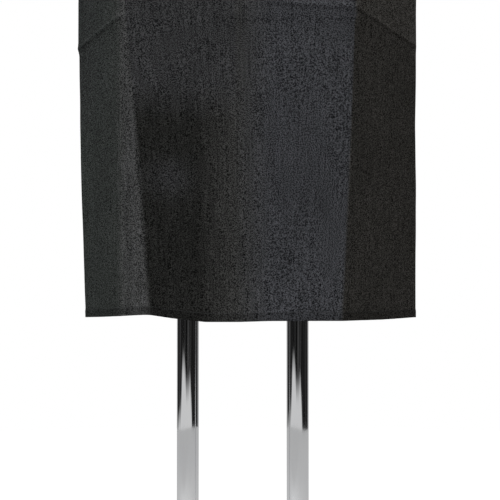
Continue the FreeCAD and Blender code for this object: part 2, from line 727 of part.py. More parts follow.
def dome(radius, height, z):
    """A whole ellipsoid, of which one half shows as a domed end."""
    made = doc.addObject("Part::Ellipsoid", "Dome")
    return place(bind(made, Radius1=height, Radius2=radius, Radius3=radius), 0, 0, z)


def gas_cylinder():
    outside = fuse(
        cylinder("tank_radius", "tank_body", 0, 0, TANK_LOW),
        dome("tank_radius", "tank_dome", TANK_LOW),
        dome("tank_radius", "tank_dome", TANK_HIGH),
    )
    foot = tube("collar_radius + 5", "collar_radius + 2", "tank_foot", 0, 0, "base_height")
    guard = cut(
        tube("collar_radius", "collar_radius - 3", "tank_height - tank_foot - tank_body", 0, 0, TANK_HIGH),
        box("collar_radius + 20", "110", "tank_height", "-(collar_radius + 20) / 2", 0,
            f"{TANK_HIGH} + tank_dome + 8"),
        box("110", "collar_radius * 2 + 20", "24", 0, 0, "base_height + tank_height - 48"),
    )
    boss = cylinder("22", "tank_dome + 8", 0, 0, TANK_HIGH)
    inside = fuse(
        cylinder("tank_radius - tank_wall", "tank_body", 0, 0, TANK_LOW),
        dome("tank_radius - tank_wall", "tank_dome - tank_wall", TANK_LOW),
        dome("tank_radius - tank_wall", "tank_dome - tank_wall", TANK_HIGH),
    )
    neck = cylinder("12.6", "tank_dome + 20", 0, 0, TANK_HIGH)
    sub_part("gas_cylinder", cut(fuse(outside, foot, guard, boss), inside, neck))

    boss_top = f"({TANK_HIGH} + tank_dome + 8)"
    valve = fuse(
        cylinder("12.5", "30", 0, 0, f"{boss_top} - 20"),
        hexagon("19", f"{VALVE} + 16 - {boss_top}", 0, 0, boss_top),
        cylinder("12", "24", 0, 0, f"{VALVE} + 6"),
        cylinder("14", "40", 0, 0, VALVE, "-x"),
        cylinder("16.5", "18", "-22", 0, VALVE, "-x"),
    )
    stem_top = f"({VALVE} + 46)"
    stem = cylinder("4", f"{stem_top} - {VALVE} - 10", 0, 0, f"{VALVE} + 10")
    sub_part("cylinder_valve", fuse(valve, stem))
    rim = fuse(torus("26", "4", 0, 0, f"{VALVE} + 38"), cylinder("10", "12", 0, 0, f"{VALVE} + 32"),
               box("50", "7", "5", 0, 0, f"{VALVE} + 35.5"), box("7", "50", "5", 0, 0, f"{VALVE} + 35.5"))
    sub_part("cylinder_handwheel", cut(rim, cylinder("4.05", "30", 0, 0, f"{VALVE} + 25")))

    grip = fuse(cylinder("22", "34", "-41", 0, VALVE, "-x"), cylinder("24", "10", "-41", 0, VALVE, "-x"))
    nut = cut(grip, cylinder("9.3", "60", "-30", 0, VALVE, "-x"))
    sub_part("coupling_nut", nut)
    centre = "-regulator_out"
    regulator = fuse(
        cylinder("32", "26", centre, 0, f"{VALVE} - 16"),
        cone("32", "24", "6", centre, 0, f"{VALVE} + 10"),
        cone("24", "32", "6", centre, 0, f"{VALVE} - 22"),
        cylinder("9", "regulator_out - 41", "-41", 0, VALVE, "-x"),
        cylinder("5", "40", f"{centre} + 18", 0, VALVE),
    )
    sub_part("gas_regulator", regulator)


def pipes():
    """The hose runs up inside the left post; small bore pipes and leads feed the burner."""
    level = size("base_height") + size("valve_level") + 40
    post_x = -size("post_spacing") / 2
    box_floor = size("bracket_level") + size("post_length") + size("bracket_plate")
    deck = box_floor + size("box_height")
    start_x = 18 - size("regulator_out")
    inlet = valve_centre()
    swept(
        "gas_hose",
        [
            (start_x, 0, level),
            (start_x, 0, level + 45),
            (post_x, 0, level + 105),
            (post_x, 0, box_floor - 40),
            (post_x, 0.3 * inlet[1], box_floor + 30),
            (post_x + 20, inlet[1], inlet[2]),
            (inlet[0] - 26, inlet[1], inlet[2]),
        ],
        size("hose_radius"),
    )
    swept(
        "burner_pipe",
        [
            (inlet[0], inlet[1] + 12, inlet[2]),
            (inlet[0], inlet[1] + 30, inlet[2]),
            (0.5 * inlet[0], 0, deck - 62),
            (0, 0, deck - 50),
            (0, 0, deck - 34),
        ],
        4,
    )
    pilot = (-52, -66)
    swept(
        "pilot_pipe",
        [
            (inlet[0] - 8, inlet[1] + 12, inlet[2] + 10),
            (inlet[0] - 8, inlet[1] + 26, inlet[2] + 10),
            (pilot[0], pilot[1], deck - 20),
            (pilot[0], pilot[1], deck + 20.4),
        ],
        2,
    )
    swept(
        "thermocouple",
        [
            (inlet[0] + 8, inlet[1] + 12, inlet[2] + 10),
            (inlet[0] + 8, inlet[1] + 26, inlet[2] + 10),
            (pilot[0] + 14, pilot[1] - 4, deck - 18),
            (pilot[0] + 14, pilot[1] - 4, deck + 52),
        ],
        1.6,
    )
    button_x = size("control_offset")
    front = -size("box_front")
    swept(
        "igniter_lead",
        [
            (button_x, front + 56.5, inlet[2]),
            (button_x, front + 76, inlet[2] + 4),
            (button_x - 20, front + 84, deck - 24),
            (pilot[0] - 10 + 22, pilot[1] + 16, deck - 14),
            (pilot[0] - 12, pilot[1] + 6, deck - 6),
            (pilot[0] - 12, pilot[1] + 6, deck + 50),
        ],
        1.4,
    )
    return pilot


def valve_centre():
    """Middle of the gas valve's body: the knob's axis runs through it."""
    floor = size("bracket_level") + size("post_length") + size("bracket_plate")
    return (-20.0, -size("box_front") + 44, floor + 0.48 * size("box_height"))


# ---- head -----------------------------------------------------------------------------------


def posts():
    for name, sign in SIDES:
        x = f"{sign}{POST_X}"
        wall = tube("post_diameter / 2", POST_INNER, "post_length", x, 0, "bracket_level")
        low = cylinder(f"2.5 + {HOLE_GAP}", "30", x, "10", "bracket_level + 10", "+y")
        high = cylinder(f"2.5 + {HOLE_GAP}", "30", x, "10", f"{HEAD_LEVEL} - 12", "+y")
        sub_part(f"post_{name}", cut(wall, low, high))
    screws = [
        pan_screw(f"{sign}{POST_X}", "post_diameter / 2", level, "-y", "9", 2.5)
        for _, sign in SIDES
        for level in ("bracket_level + 10", f"{HEAD_LEVEL} - 12")
    ]
    sub_part("post_screws", group(*screws))

    plate = box("post_spacing + post_diameter + 20", "post_diameter + 16", "bracket_plate",
                0, 0, HEAD_LEVEL)
    spigots = [
        cylinder(SPIGOT, "spigot_length + bracket_plate", f"{sign}{POST_X}", 0,
                 f"{HEAD_LEVEL} - spigot_length")
        for _, sign in SIDES
    ]
    bores = [
        cylinder(f"{SPIGOT} - spigot_wall", "spigot_length + bracket_plate + 2", f"{sign}{POST_X}", 0,
                 f"{HEAD_LEVEL} - spigot_length - 1")
        for _, sign in SIDES
    ]
    screw_holes = [
        cylinder(f"2.5 + {HOLE_GAP}", "30", f"{sign}{POST_X}", "10", f"{HEAD_LEVEL} - 12", "+y")
        for _, sign in SIDES
    ]
    bolt_holes = [head_bolt(f"{sx}(post_spacing / 2 - 48)", f"{sy}20", HEAD_LEVEL, "+z")
                  for sx in ("-", "") for sy in ("-", "")]
    sub_part("head_bracket", cut(fuse(plate, *spigots), *bores, *screw_holes, *bolt_holes))
    return bolt_holes


def control_box(bolt_holes, stay_holes):
    """Sheet box under the burner, open at its front and top, with the controls on its panel."""
    body = new_body("control_box")
    feature(body, "Pad", body_sketch(body, "XY_Plane", box_plan(), BOX_FLOOR), Length="box_height")
    pocket(body, box_plan("box_sheet"), f"{DECK} - box_sheet", "box_height - 2 * box_sheet")
    pocket(body, box_plan("box_sheet + 12"), DECK, "box_sheet + 1")
    window = box("box_front_width - 2 * panel_margin - 16", "20", "box_height - 2 * panel_margin - 20",
                 0, "-box_front", f"{BOX_FLOOR} + panel_margin + 10")
    hose_hole = [cylinder(f"{SPIGOT} - spigot_wall", "box_sheet + 2", f"{sign}{POST_X}", 0,
                          f"{BOX_FLOOR} - 1") for _, sign in SIDES]
    centre = valve_centre()
    knob_x = f"{centre[0]}"
    knob_z = f"({BOX_FLOOR} + 0.48 * box_height)"
    width, height = "(box_front_width - 2 * panel_margin)", "(box_height - 2 * panel_margin)"
    panel_holes = [
        sheet_screw(f"{sx}({width} / 2 - 5)", "-box_front - deck_thick",
                    f"{BOX_FLOOR} + box_height / 2 {sz} ({height} / 2 - 5)", "+y")
        for sx in ("-", "") for sz in ("-", "+")
    ]
    deck_holes = [
        sheet_screw(f"{sx}({x})", y, DECK_TOP, "-z")
        for x, y in (("box_front_width / 2 - 12", "-box_front + 7"), ("box_width / 2 - 7", "box_back - 7"))
        for sx in ("-", "")
    ]
    drilled("control_box", body, window, *hose_hole, *bolt_holes, *stay_holes, *panel_holes, *deck_holes)
    panel = cut(
        box(width, "deck_thick", height, 0, "-box_front - deck_thick / 2", f"{BOX_FLOOR} + panel_margin"),
        cylinder("stem_radius + 2", "10", knob_x, "-box_front + 4", knob_z, "-y"),
        cylinder("button_radius + 0.5", "10", "control_offset", "-box_front + 4", knob_z, "-y"),
        *panel_holes,
    )
    sub_part("control_panel", panel)

    # the gas valve hangs behind the panel, and its stem reaches out through it
    valve = fuse(
        box("34", "40", "34", knob_x, "-box_front + 36", f"{knob_z} - 17"),
        cylinder("13", "17", knob_x, "-box_front + 17", knob_z, "-y"),
        cylinder("8", "10", f"{knob_x} - 16", "-box_front + 44", knob_z, "-x"),
    )
    bore = cylinder("stem_radius + 0.05", "30", knob_x, "-box_front + 27", knob_z, "-y")
    sub_part("gas_valve", cut(valve, bore))
    stem_tip = "(box_front + deck_thick + 26)"
    stem = cylinder("stem_radius", f"{stem_tip} - box_front + 18", knob_x, f"-{stem_tip}", knob_z, "+y")
    sub_part("valve_stem", stem)
    panel_face = "-box_front - deck_thick"
    knob = cut(
        fuse(
            cone("knob_radius", "knob_radius - 2", "14", knob_x, f"{panel_face} - 7", knob_z, "-y"),
            box("10", "10", "knob_radius * 1.7", knob_x, f"{panel_face} - 25",
                f"{knob_z} - knob_radius * 0.85"),
        ),
        cylinder("stem_radius + 0.05", "19.2", knob_x, f"{panel_face} - 6.9", knob_z, "-y"),
    )
    sub_part("control_knob", knob)

    button = fuse(
        cylinder("button_radius", "17", "control_offset", f"{panel_face} + 5", knob_z, "-y"),
        cylinder("button_radius - 4", "20", "control_offset", f"{panel_face} + 25", knob_z, "-y"),
    )
    sub_part("igniter_button", button)
    case = cut(
        cylinder("button_radius + 5", "58 - deck_thick", "control_offset", f"{panel_face} + 58",
                 knob_z, "-y"),
        cylinder("button_radius + 0.5", "14", "control_offset", f"{panel_face} + 14", knob_z, "-y"),
        cylinder("button_radius - 3.95", "36", "control_offset", "-box_front + 36", knob_z, "-y"),
    )
    sub_part("piezo_igniter", case)
    case = box("36", "30", "44", "box_width / 2 - 70", "box_back - box_sheet - 15.3",
               f"{BOX_FLOOR} + box_sheet")
    sub_part("tilt_switch", case)
    return deck_holes


def burner(pilot, deck_holes):
    """Deck, burner, pilot and the emitter screen that glows round them."""
    body = new_body("burner_deck")
    feature(body, "Pad", body_sketch(body, "XY_Plane", box_plan(), DECK), Length="deck_thick")
    px, py = pilot
    passes = [
        cylinder(f"burner_tube_radius + {HOLE_GAP}", "deck_thick + 2", 0, 0, f"{DECK} - 1"),
        cylinder("2.6", "deck_thick + 2", px, py, f"{DECK} - 1"),
        cylinder("2.6", "deck_thick + 2", px + 14, py - 4, f"{DECK} - 1"),
        cylinder("2.6", "deck_thick + 2", px - 12, py + 6, f"{DECK} - 1"),
    ]
    drilled("burner_deck", body, *passes, *deck_holes)

    drum = "(burner_radius)"
    turned = revolved(
        "burner",
        [
            ("burner_tube_radius - 1.5", "-32"), ("burner_tube_radius", "-32"),
            ("burner_tube_radius", "deck_thick"), ("burner_tube_radius + 24", "deck_thick"),
            ("burner_tube_radius + 24", "deck_thick + 2"), ("burner_tube_radius", "deck_thick + 2"),
            ("burner_tube_radius", "26"), (drum, "34"), (drum, "62"),
            (f"{drum} - 12", "68"), (f"{drum} - 12", "66"), (f"{drum} - 2", "61"),
            (f"{drum} - 2", "36"), ("burner_tube_radius - 1.5", "28"),
        ],
        0, 0, DECK,
    )
    sub_part("burner", turned)
    sub_part("burner_jet", hexagon("7", "12", 0, 0, f"{DECK} - 34"))
    bracket = cut(
        fuse(box("40", "20", "1.5", px + 1, py + 1, DECK_TOP),
             cylinder("4.5", "18", px, py, f"{DECK_TOP} + 4"),
             cylinder("3.6", "4", px, py, DECK_TOP)),
        cylinder("2.05", "20.5", px, py, DECK),
        cylinder("2.2", "10", px + 14, py - 4, DECK),
        cylinder("2.2", "10", px - 12, py + 6, DECK),
    )
    sub_part("pilot_burner", bracket)

    screen = tube("emitter_radius", "emitter_radius - emitter_sheet", "emitter_height", 0, 0, DECK_TOP)
    sub_part("emitter_screen", screen)
    top = revolved(
        "emitter_cap",
        [
            ("0", "20"), ("emitter_radius * 0.8", "20"),
            ("emitter_radius + emitter_sheet + 0.3", "2"), ("emitter_radius + emitter_sheet + 0.3", "-12"),
            ("emitter_radius + 0.3", "-12"), ("emitter_radius + 0.3", "0"),
            ("emitter_radius - 4", "0"), ("emitter_radius * 0.8", "17"), ("0", "17"),
        ],
        0, 0, CAP,
    )
    holes = [cylinder(f"stud_radius + {HOLE_GAP}", "40", x, y, f"{CAP} - 10") for x, y in STUDS]
    sub_part("emitter_cap", cut(top, *holes))


STUDS = [(f"stud_ring * cos({a})", f"stud_ring * sin({a})") for a in (270, 30, 150)]


def reflector():
    """Curved sheet behind the emitter, on one flat stay bolted to the control box's back."""
    face = "(box_back - 0.3 - emitter_sheet)"
    centre = f"{face} - reflector_radius"
    span = "2 * asin(reflector_half_width / reflector_radius) / 1 deg"
    low = f"{DECK_TOP} + 4"
    sheet_metal = cut(
        sector("reflector_radius + emitter_sheet", "reflector_height", 90, span, 0, centre, low),
        cylinder("reflector_radius", "reflector_height + 2", 0, centre, f"{low} - 1"),
    )
    sub_part("back_reflector", sheet_metal)
    stay_low = f"{BOX_FLOOR} + 30"
    stay = box("60", "3", f"{LINER} - 0.3 - ({stay_low})", 0, "box_back + 1.5", stay_low)
    spots = [("-18", f"{stay_low} + 15"), ("18", f"{stay_low} + 15"), ("0", f"{DECK} - 25")]
    holes = [head_bolt(x, "box_back + 3", z, "-y") for x, z in spots]
    sub_part("reflector_stay", cut(stay, *holes))
    return holes


def guard():
    """Bowed wires across the front, with upright wires welded inside them."""
    curve = size("reflector_radius")
    curve_y = size("box_back") - 0.3 - size("emitter_sheet") - curve
    half = size("reflector_half_width") - 6
    end_y = curve_y + math.sqrt((curve - 0.9) ** 2 - half**2)
    bow = -size("hood_front") + 30
    low = size("bracket_level") + size("post_length") + size("bracket_plate") + size("box_height")
    low += size("deck_thick") + 4
    wire = size("guard_wire")
    made = doc.addObject("Part::Feature", "wire_guard")
    rods = []
    rows, high = 7, size("reflector_height") - 24
    radius = (half**2 + (end_y - bow) ** 2) / (2 * (end_y - bow))
    centre_y = bow + radius
    for row in range(rows):
        z = low + 12 + row * high / (rows - 1)
        ends = [FreeCAD.Vector(s * half, end_y, z) for s in (-1, 1)]
        arc = Part.Arc(ends[0], FreeCAD.Vector(0, bow, z), ends[1]).toShape()
        start_dir = FreeCAD.Vector(-(ends[0].y - centre_y), ends[0].x, 0).normalize()
        ring = Part.Wire([Part.makeCircle(wire, ends[0], start_dir)])
        rods.append(Part.Wire([arc]).makePipeShell([ring], True, False))
    inner = radius - 2 * wire - 0.05
    reach = math.asin(half / radius) * 0.97
    columns = 13
    for column in range(columns):
        angle = reach * (2 * column / (columns - 1) - 1)
        x, y = inner * math.sin(angle), centre_y - inner * math.cos(angle)
        rods.append(Part.makeCylinder(wire, high + 12, FreeCAD.Vector(x, y, low + 6)))
    made.Shape = Part.makeCompound(rods)
    sub_part("wire_guard", made)


def hood():
    body = new_body("hood")
    feature(body, "Pad", body_sketch(body, "XY_Plane", hood_plan(), "hood_rim"), Length="hood_skirt")
    loft(body, "AdditiveLoft", hood_plan(), "hood_rim + hood_skirt",
         hood_plan("hood_slope_run", "hood_slope_rear"), HOOD_TOP)
    pocket(body, hood_plan("box_sheet"), "hood_rim + hood_skirt", "hood_skirt + 1")
    loft(body, "SubtractiveLoft", hood_plan("box_sheet"), "hood_rim + hood_skirt - 0.001",
         hood_plan("hood_slope_run - box_sheet", "hood_slope_rear + box_sheet"), f"{HOOD_TOP} - box_sheet")
    holes = [cylinder(f"stud_radius + {HOLE_GAP}", "40", x, y, f"{HOOD_TOP} - 20") for x, y in STUDS]
    drilled("hood", body, *holes)

    flat = new_body("hood_liner")
    outline = body_sketch(flat, "XY_Plane", hood_plan("liner_inset"), LINER)
    feature(flat, "Pad", outline, Length="box_sheet")
    holes = [cylinder(f"stud_radius + {HOLE_GAP}", "20", x, y, f"{LINER} - 10") for x, y in STUDS]
    drilled("hood_liner", flat, *holes)

    rods, sleeves, nuts = [], [], []
    for x, y in STUDS:
        start = f"{CAP} + 8"
        rods.append(fuse(cylinder("stud_radius", f"{HOOD_TOP} + 6 - ({start})", x, y, start),
                         cylinder("stud_radius + 3", f"{CAP} + 16.8 - ({start})", x, y, start)))
        for low, high in ((f"{CAP} + 20", LINER), (f"{LINER} + box_sheet", f"{HOOD_TOP} - box_sheet")):
            sleeves.append(tube("stud_radius + 3", "stud_radius + 0.1", f"{high} - ({low})", x, y, low))
        nut = cut(fuse(hexagon("stud_radius + 4", "nut_height - 4", x, y, HOOD_TOP),
                       cylinder("stud_radius + 2", "nut_height", x, y, HOOD_TOP)),
                  cylinder("stud_radius + 0.05", "6.2", x, y, f"{HOOD_TOP} - 0.1"))
        nuts.append(nut)
    sub_part("hood_studs", group(*rods))
    sub_part("stud_sleeves", group(*sleeves))
    sub_part("hood_nuts", group(*nuts))


def head_cover():
    """Sewn fabric cover, open at its hem, that hangs from the hood."""
    outset = "-(cover_gap + cover_cloth)"
    top = f"({HOOD_TOP} + nut_height + cover_top_gap + cover_cloth)"
    shoulder = "(hood_rim + hood_skirt)"
    hem = "(hood_rim - cover_drop)"
    run = "(hood_slope_run - cover_gap - cover_cloth - 18)"
    rear = "(hood_slope_rear - cover_cloth - 5)"
    body = new_body("head_cover")
    outline = body_sketch(body, "XY_Plane", hood_plan(outset), hem)
    feature(body, "Pad", outline, Length=f"{shoulder} - {hem}")
    loft(body, "AdditiveLoft", hood_plan(outset), shoulder, hood_plan(run, rear), top)
    pocket(body, hood_plan("-cover_gap"), shoulder, f"{shoulder} - {hem} + 1")
    loft(body, "SubtractiveLoft", hood_plan("-cover_gap"), f"{shoulder} - 0.001",
         hood_plan(f"{run} + cover_cloth", f"{rear} + cover_cloth"), f"{top} - cover_cloth")
    doc.recompute()
    sub_part("head_cover", body)


flange_holes = base_pan()
base_details()
wheels()
tank_frame()
housing(flange_holes)
door()
gas_cylinder()
bracket_holes = posts()
deck_holes = control_box(bracket_holes, reflector())
burner(pipes(), deck_holes)
guard()
hood()
head_cover()
sub_part("sheet_screws", group(*SHEET_SCREWS))
sub_part("head_bolts", group(*HEAD_SCREWS))

doc.recompute()
failed = [f"{o.Name} ({o.Label})" for o in doc.Objects if {"Invalid", "Error"} & set(o.State)]
failed += [o.Label for o in PARTS if o.Shape.isNull() or not o.Shape.isValid() or not o.Shape.Solids]
if failed:
    raise SystemExit(f"these did not build: {failed}")
os.makedirs("parts", exist_ok=True)
for part in PARTS:
    part.Shape.exportStep(f"parts/{part.Label}.step")
    print(f"{part.Label}: {len(part.Shape.Solids)} solid(s), {part.Shape.Volume / 1000:.1f} cm3")
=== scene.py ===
"""Looks of the covered gas patio heater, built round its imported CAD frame."""

import math

import bpy
import numpy as np
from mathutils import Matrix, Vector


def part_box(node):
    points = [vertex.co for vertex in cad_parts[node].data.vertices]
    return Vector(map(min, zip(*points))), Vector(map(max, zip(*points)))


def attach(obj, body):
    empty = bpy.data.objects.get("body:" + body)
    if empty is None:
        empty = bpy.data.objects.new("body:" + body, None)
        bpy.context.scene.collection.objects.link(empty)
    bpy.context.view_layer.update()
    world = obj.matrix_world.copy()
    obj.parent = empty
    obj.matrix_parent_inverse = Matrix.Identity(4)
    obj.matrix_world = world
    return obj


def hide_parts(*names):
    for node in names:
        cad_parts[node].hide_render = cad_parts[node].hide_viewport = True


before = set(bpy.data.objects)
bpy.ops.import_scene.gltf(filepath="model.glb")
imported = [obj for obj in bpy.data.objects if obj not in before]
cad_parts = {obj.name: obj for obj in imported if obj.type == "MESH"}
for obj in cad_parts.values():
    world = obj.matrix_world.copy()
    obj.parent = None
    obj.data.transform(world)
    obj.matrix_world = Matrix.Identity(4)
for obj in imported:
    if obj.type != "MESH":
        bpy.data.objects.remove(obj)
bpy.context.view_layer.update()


# ---- head cover -----------------------------------------------------------------------------
# A sewn sleeve of coated polyester, black, with a hipped top panel. It is pulled down over the
# hood, hangs freely below the hood's rim, and ends in a 20 mm hem with one row of lockstitch.

# Heights above the floor, distances up from the hem's edge, and lengths, all in metres.
HEM_LEVEL = 1.345
RIM_LEVEL = 2.0
EAVES_LEVEL = 2.132
TOP_LEVEL = 2.2042
HEM_DEPTH = 0.020
STITCH_ROW = 0.0186
CLOTH_THICKNESS = 0.0009
COVER_GIRTH = 2.15
TOP_MIDDLE = (0.0, 0.045)

# Round the cover from the middle of its back, anticlockwise from above. Each row is where one
# upright line of the cloth runs: x, y at the rim; x, y at the hem; the power of its drift
# between the two; how far the hem is drawn up there; and x, y where it meets the flat top.
CLOTH_LINES = np.array([
    (0.000, 0.2320, 0.000, 0.2230, 1.0, 0.000, 0.000, 0.209),
    (-0.250, 0.2320, -0.250, 0.2270, 1.0, 0.001, -0.180, 0.209),
    (-0.4120, 0.2310, -0.4010, 0.2240, 1.3, 0.000, -0.300, 0.209),
    (-0.4135, 0.1550, -0.3910, 0.1500, 1.3, -0.005, -0.301, 0.176),
    (-0.3340, -0.0390, -0.3220, -0.0300, 1.0, 0.001, -0.240, 0.030),
    (-0.2560, -0.2300, -0.2520, -0.2080, 1.0, 0.0080, -0.182, -0.115),
    (-0.2450, -0.2325, -0.1910, -0.2450, 0.85, 0.0122, -0.172, -0.119),
    (-0.1950, -0.2325, -0.1420, -0.2150, 0.55, 0.0035, -0.136, -0.119),
    (-0.0820, -0.2325, -0.0720, -0.1920, 0.50, -0.0052, -0.057, -0.119),
    (0.0000, -0.2325, 0.0040, -0.2170, 0.60, -0.0042, 0.000, -0.119),
    (0.0700, -0.2330, 0.0700, -0.2390, 0.90, -0.0014, 0.049, -0.119),
    (0.2560, -0.2315, 0.2234, -0.2370, 1.2, -0.001, 0.180, -0.118),
    (0.3340, -0.0410, 0.3210, -0.0350, 1.0, -0.0042, 0.240, 0.029),
    (0.4162, 0.1550, 0.4122, 0.1520, 1.0, -0.004, 0.301, 0.176),
    (0.4125, 0.2310, 0.4090, 0.2240, 1.0, 0.000, 0.300, 0.209),
    (0.250, 0.2320, 0.250, 0.2270, 1.0, 0.001, 0.180, 0.209),
])

# The rows above that are sharp corners, and the one in the middle of the soft front folds.
SHARP_LINES = (5, 6, 11)
SOFT_LINE = 8

# Puckers in the front of the cloth: how far each stands out, its place in x and z, its width,
# its height, and how much it leans.
PUCKERS = (
    (0.0090, -0.165, 1.628, 0.045, 0.032, 0.35),
    (0.0085, -0.165, 1.812, 0.055, 0.048, 0.35),
    (-0.0060, -0.160, 1.715, 0.050, 0.040, 0.35),
    (-0.0045, -0.012, 1.400, 0.026, 0.022, 0.0),
    (0.0030, 0.020, 1.440, 0.060, 0.030, 0.0),
)

# The hood's three nuts lift the flat top: the circle they stand on and their bearings.
NUT_CIRCLE = 0.070
NUT_BEARINGS = (270, 30, 150)


def cloth_weights(columns, soften):
    """How much each column of the cloth takes from each upright line: straight shares between
    the two lines beside it, blurred along the girth by a bell curve of width soften, and read
    at columns that lie closer together near the sharp corners."""
    rim = CLOTH_LINES[:, :2]
    lengths = np.linalg.norm(np.roll(rim, -1, 0) - rim, axis=1)
    at_line = np.concatenate(([0.0], np.cumsum(lengths)))
    girth, count = at_line[-1], 2048
    along = np.arange(count) * girth / count
    shares = np.stack(
        [np.interp(along, at_line, np.append(row, row[0])) for row in np.eye(len(rim))], 1
    )
    away = np.minimum(along, girth - along)
    bell = np.exp(-0.5 * (away / soften) ** 2)
    spectrum = np.fft.rfft(bell / bell.sum())[:, None]
    blurred = np.fft.irfft(np.fft.rfft(shares, axis=0) * spectrum, count, axis=0)
    crowd = 1 + 2.2 * sum(np.exp(-(((along - at_line[k]) / 0.03) ** 2)) for k in SHARP_LINES)
    crowd += np.abs(along - at_line[SOFT_LINE]) < 0.25
    run = np.concatenate(([0.0], np.cumsum(crowd)))
    wanted = np.arange(columns) / columns * run[-1]
    girth_at = np.interp(wanted, run, np.arange(count + 1)) * girth / count
    wide = np.vstack([blurred, blurred[:1]])
    spots = np.append(along, girth)
    weights = np.stack([np.interp(girth_at, spots, column) for column in wide.T], 1)
    return weights, girth_at, girth


def ripple(along, height, seed, long_way, tall_way):
    """A gentle random swell of the cloth: eight sine waves with set directions and phases,
    whose lengths along the girth and up the drop are near long_way and tall_way."""
    draw = np.random.default_rng(seed)
    waves = 8
    total = 0.0
    for _ in range(waves):
        turns = round(draw.uniform(0.6, 1.5) * COVER_GIRTH / long_way)
        lean = draw.uniform(-1.3, 1.3) / tall_way
        phase = 2 * np.pi * (turns * along / COVER_GIRTH + lean * height)
        total = total + np.sin(phase + draw.uniform(0, 6.3))
    return total / waves


def smooth(values, low, high):
    """0 below low, 1 above high, and an eased ramp between."""
    ramp = np.clip((values - low) / (high - low), 0, 1)
    return ramp * ramp * (3 - 2 * ramp)


def bump_at(x, z, centre_x, centre_z, wide, tall):
    """A bell-shaped spot on the front of the cloth."""
    return np.exp(-(((x - centre_x) / wide) ** 2) - ((z - centre_z) / tall) ** 2)


def cover_surface(columns=330, rows=104, roof_rows=12, top_rows=9):
    """Side: every point is the blurred mix of the upright lines, each of which drifts from its
    rim place to its hem place by its own power of the drop, then is pushed along the outward
    normal by the folds. Roof: straight from the eaves to the flat top. Top: shrinks to a point.
    Gives the points, their distance round and up the cloth in metres, and the whole girth."""
    weights, girth_at, girth = cloth_weights(columns, 0.0042)
    lines = CLOTH_LINES
    hem_rows = np.array([0.0, 0.0012, 0.0075, 0.014, 0.0178, 0.0190, 0.0202, 0.0216])
    up = np.concatenate((hem_rows, np.linspace(0.027, EAVES_LEVEL - HEM_LEVEL, rows)))[:, None]
    fall = np.clip((RIM_LEVEL - HEM_LEVEL - up) / (RIM_LEVEL - HEM_LEVEL), 0, 1)
    power = lines[:, 4]
    drift = ((fall + 0.03) ** power - 0.03 ** power) / (1.03 ** power - 0.03 ** power)
    line_x = lines[:, 0] + drift * (lines[:, 2] - lines[:, 0])
    line_y = lines[:, 1] + drift * (lines[:, 3] - lines[:, 1])
    x, y = line_x @ weights.T, line_y @ weights.T
    drawn = weights @ lines[:, 5]
    z = HEM_LEVEL + up + drawn * fall ** 2
    along = np.broadcast_to(girth_at, x.shape)

    step_x = np.roll(x, -1, 1) - np.roll(x, 1, 1)
    step_y = np.roll(y, -1, 1) - np.roll(y, 1, 1)
    length = np.hypot(step_x, step_y)
    out_x, out_y = step_y / length, -step_x / length

    front = smooth(-y, 0.10, 0.20)
    loose = smooth(fall, 0.0, 0.25)
    under_rim = RIM_LEVEL - z

    # The hood's rim shows through as a low ridge with the cloth drawn in below it.
    left_front = front * smooth(-x, -0.02, 0.06)
    rim_shown = np.clip(1 - left_front * smooth(x, -0.252, -0.24) * 0.85, 0, 1)
    rim_shown = rim_shown * (1 - 0.5 * smooth(-x, 0.33, 0.40)) * (1 - 0.9 * smooth(x, 0.33, 0.40))
    push = 0.0030 * rim_shown * np.exp(-((under_rim / 0.007) ** 2))
    push -= 0.0050 * rim_shown * smooth(under_rim, 0.0, 0.022) * np.exp(-under_rim.clip(0) / 0.20)

    # Swells of three sizes, then the puckers, then creases that fan out from the right corner.
    push += loose * 0.0022 * ripple(along, z, 3, 0.16, 1.4)
    push += loose * 0.0012 * ripple(along, z, 8, 0.07, 0.45)
    push += 0.0007 * ripple(along, z, 21, 0.05, 0.10)
    for out, centre_x, centre_z, wide, tall, lean in PUCKERS:
        push += out * front * bump_at(x, z + lean * (x + 0.15), centre_x, centre_z, wide, tall)
    right = smooth(x, 0.24, 0.27)
    reach = np.hypot(x - 0.255, under_rim * 0.55)
    fan = np.sin(9 * np.arctan2(under_rim, (x - 0.245) * 2.2))
    push += 0.0022 * right * loose * fan * np.exp(-reach / 0.20)

    # The hem is doubled cloth, pulled in along its row of stitches.
    push += 0.0011 * smooth(HEM_DEPTH - up, -0.0010, 0.0010)
    push -= 0.0010 * np.exp(-(((up - STITCH_ROW) / 0.0012) ** 2))
    x, y = x + push * out_x, y + push * out_y

    eaves = np.stack([x[-1], y[-1]], 1)
    flat = weights @ lines[:, 6:8]
    share = np.linspace(0, 1, roof_rows + 1)[1:, None, None]
    roof = eaves + share * (flat - eaves)
    shrink = (np.linspace(0, 1, top_rows + 1)[1:-1, None, None]) ** 0.9
    top = flat + shrink * (np.array(TOP_MIDDLE) - flat)
    climbed = share[..., 0]
    roof_z = z[-1] + climbed * (TOP_LEVEL - z[-1]) - 0.0012 * np.sin(np.pi * climbed)
    over = np.concatenate([roof, top])
    over_z = np.concatenate([roof_z, np.full(top.shape[:2], TOP_LEVEL)])
    for angle in np.radians(NUT_BEARINGS):
        nut = NUT_CIRCLE * np.array([np.cos(angle), np.sin(angle)])
        over_z += 0.0102 * np.exp(-((np.linalg.norm(over - nut, axis=2) / 0.060) ** 2))
    over_along = np.broadcast_to(girth_at, over_z.shape)
    over_z += 0.0006 * ripple(over_along, over_z * 4, 5, 0.2, 0.5)

    points = np.concatenate([
        np.stack([x, y, z], 2), np.concatenate([over, over_z[..., None]], 2)
    ])
    over_path = up[-1] + np.linspace(0.008, 0.36, len(over_z))[:, None]
    path = np.concatenate([
        np.broadcast_to(up, x.shape), np.broadcast_to(over_path, over_z.shape)
    ])
    return points, np.concatenate([along, over_along]), path, girth


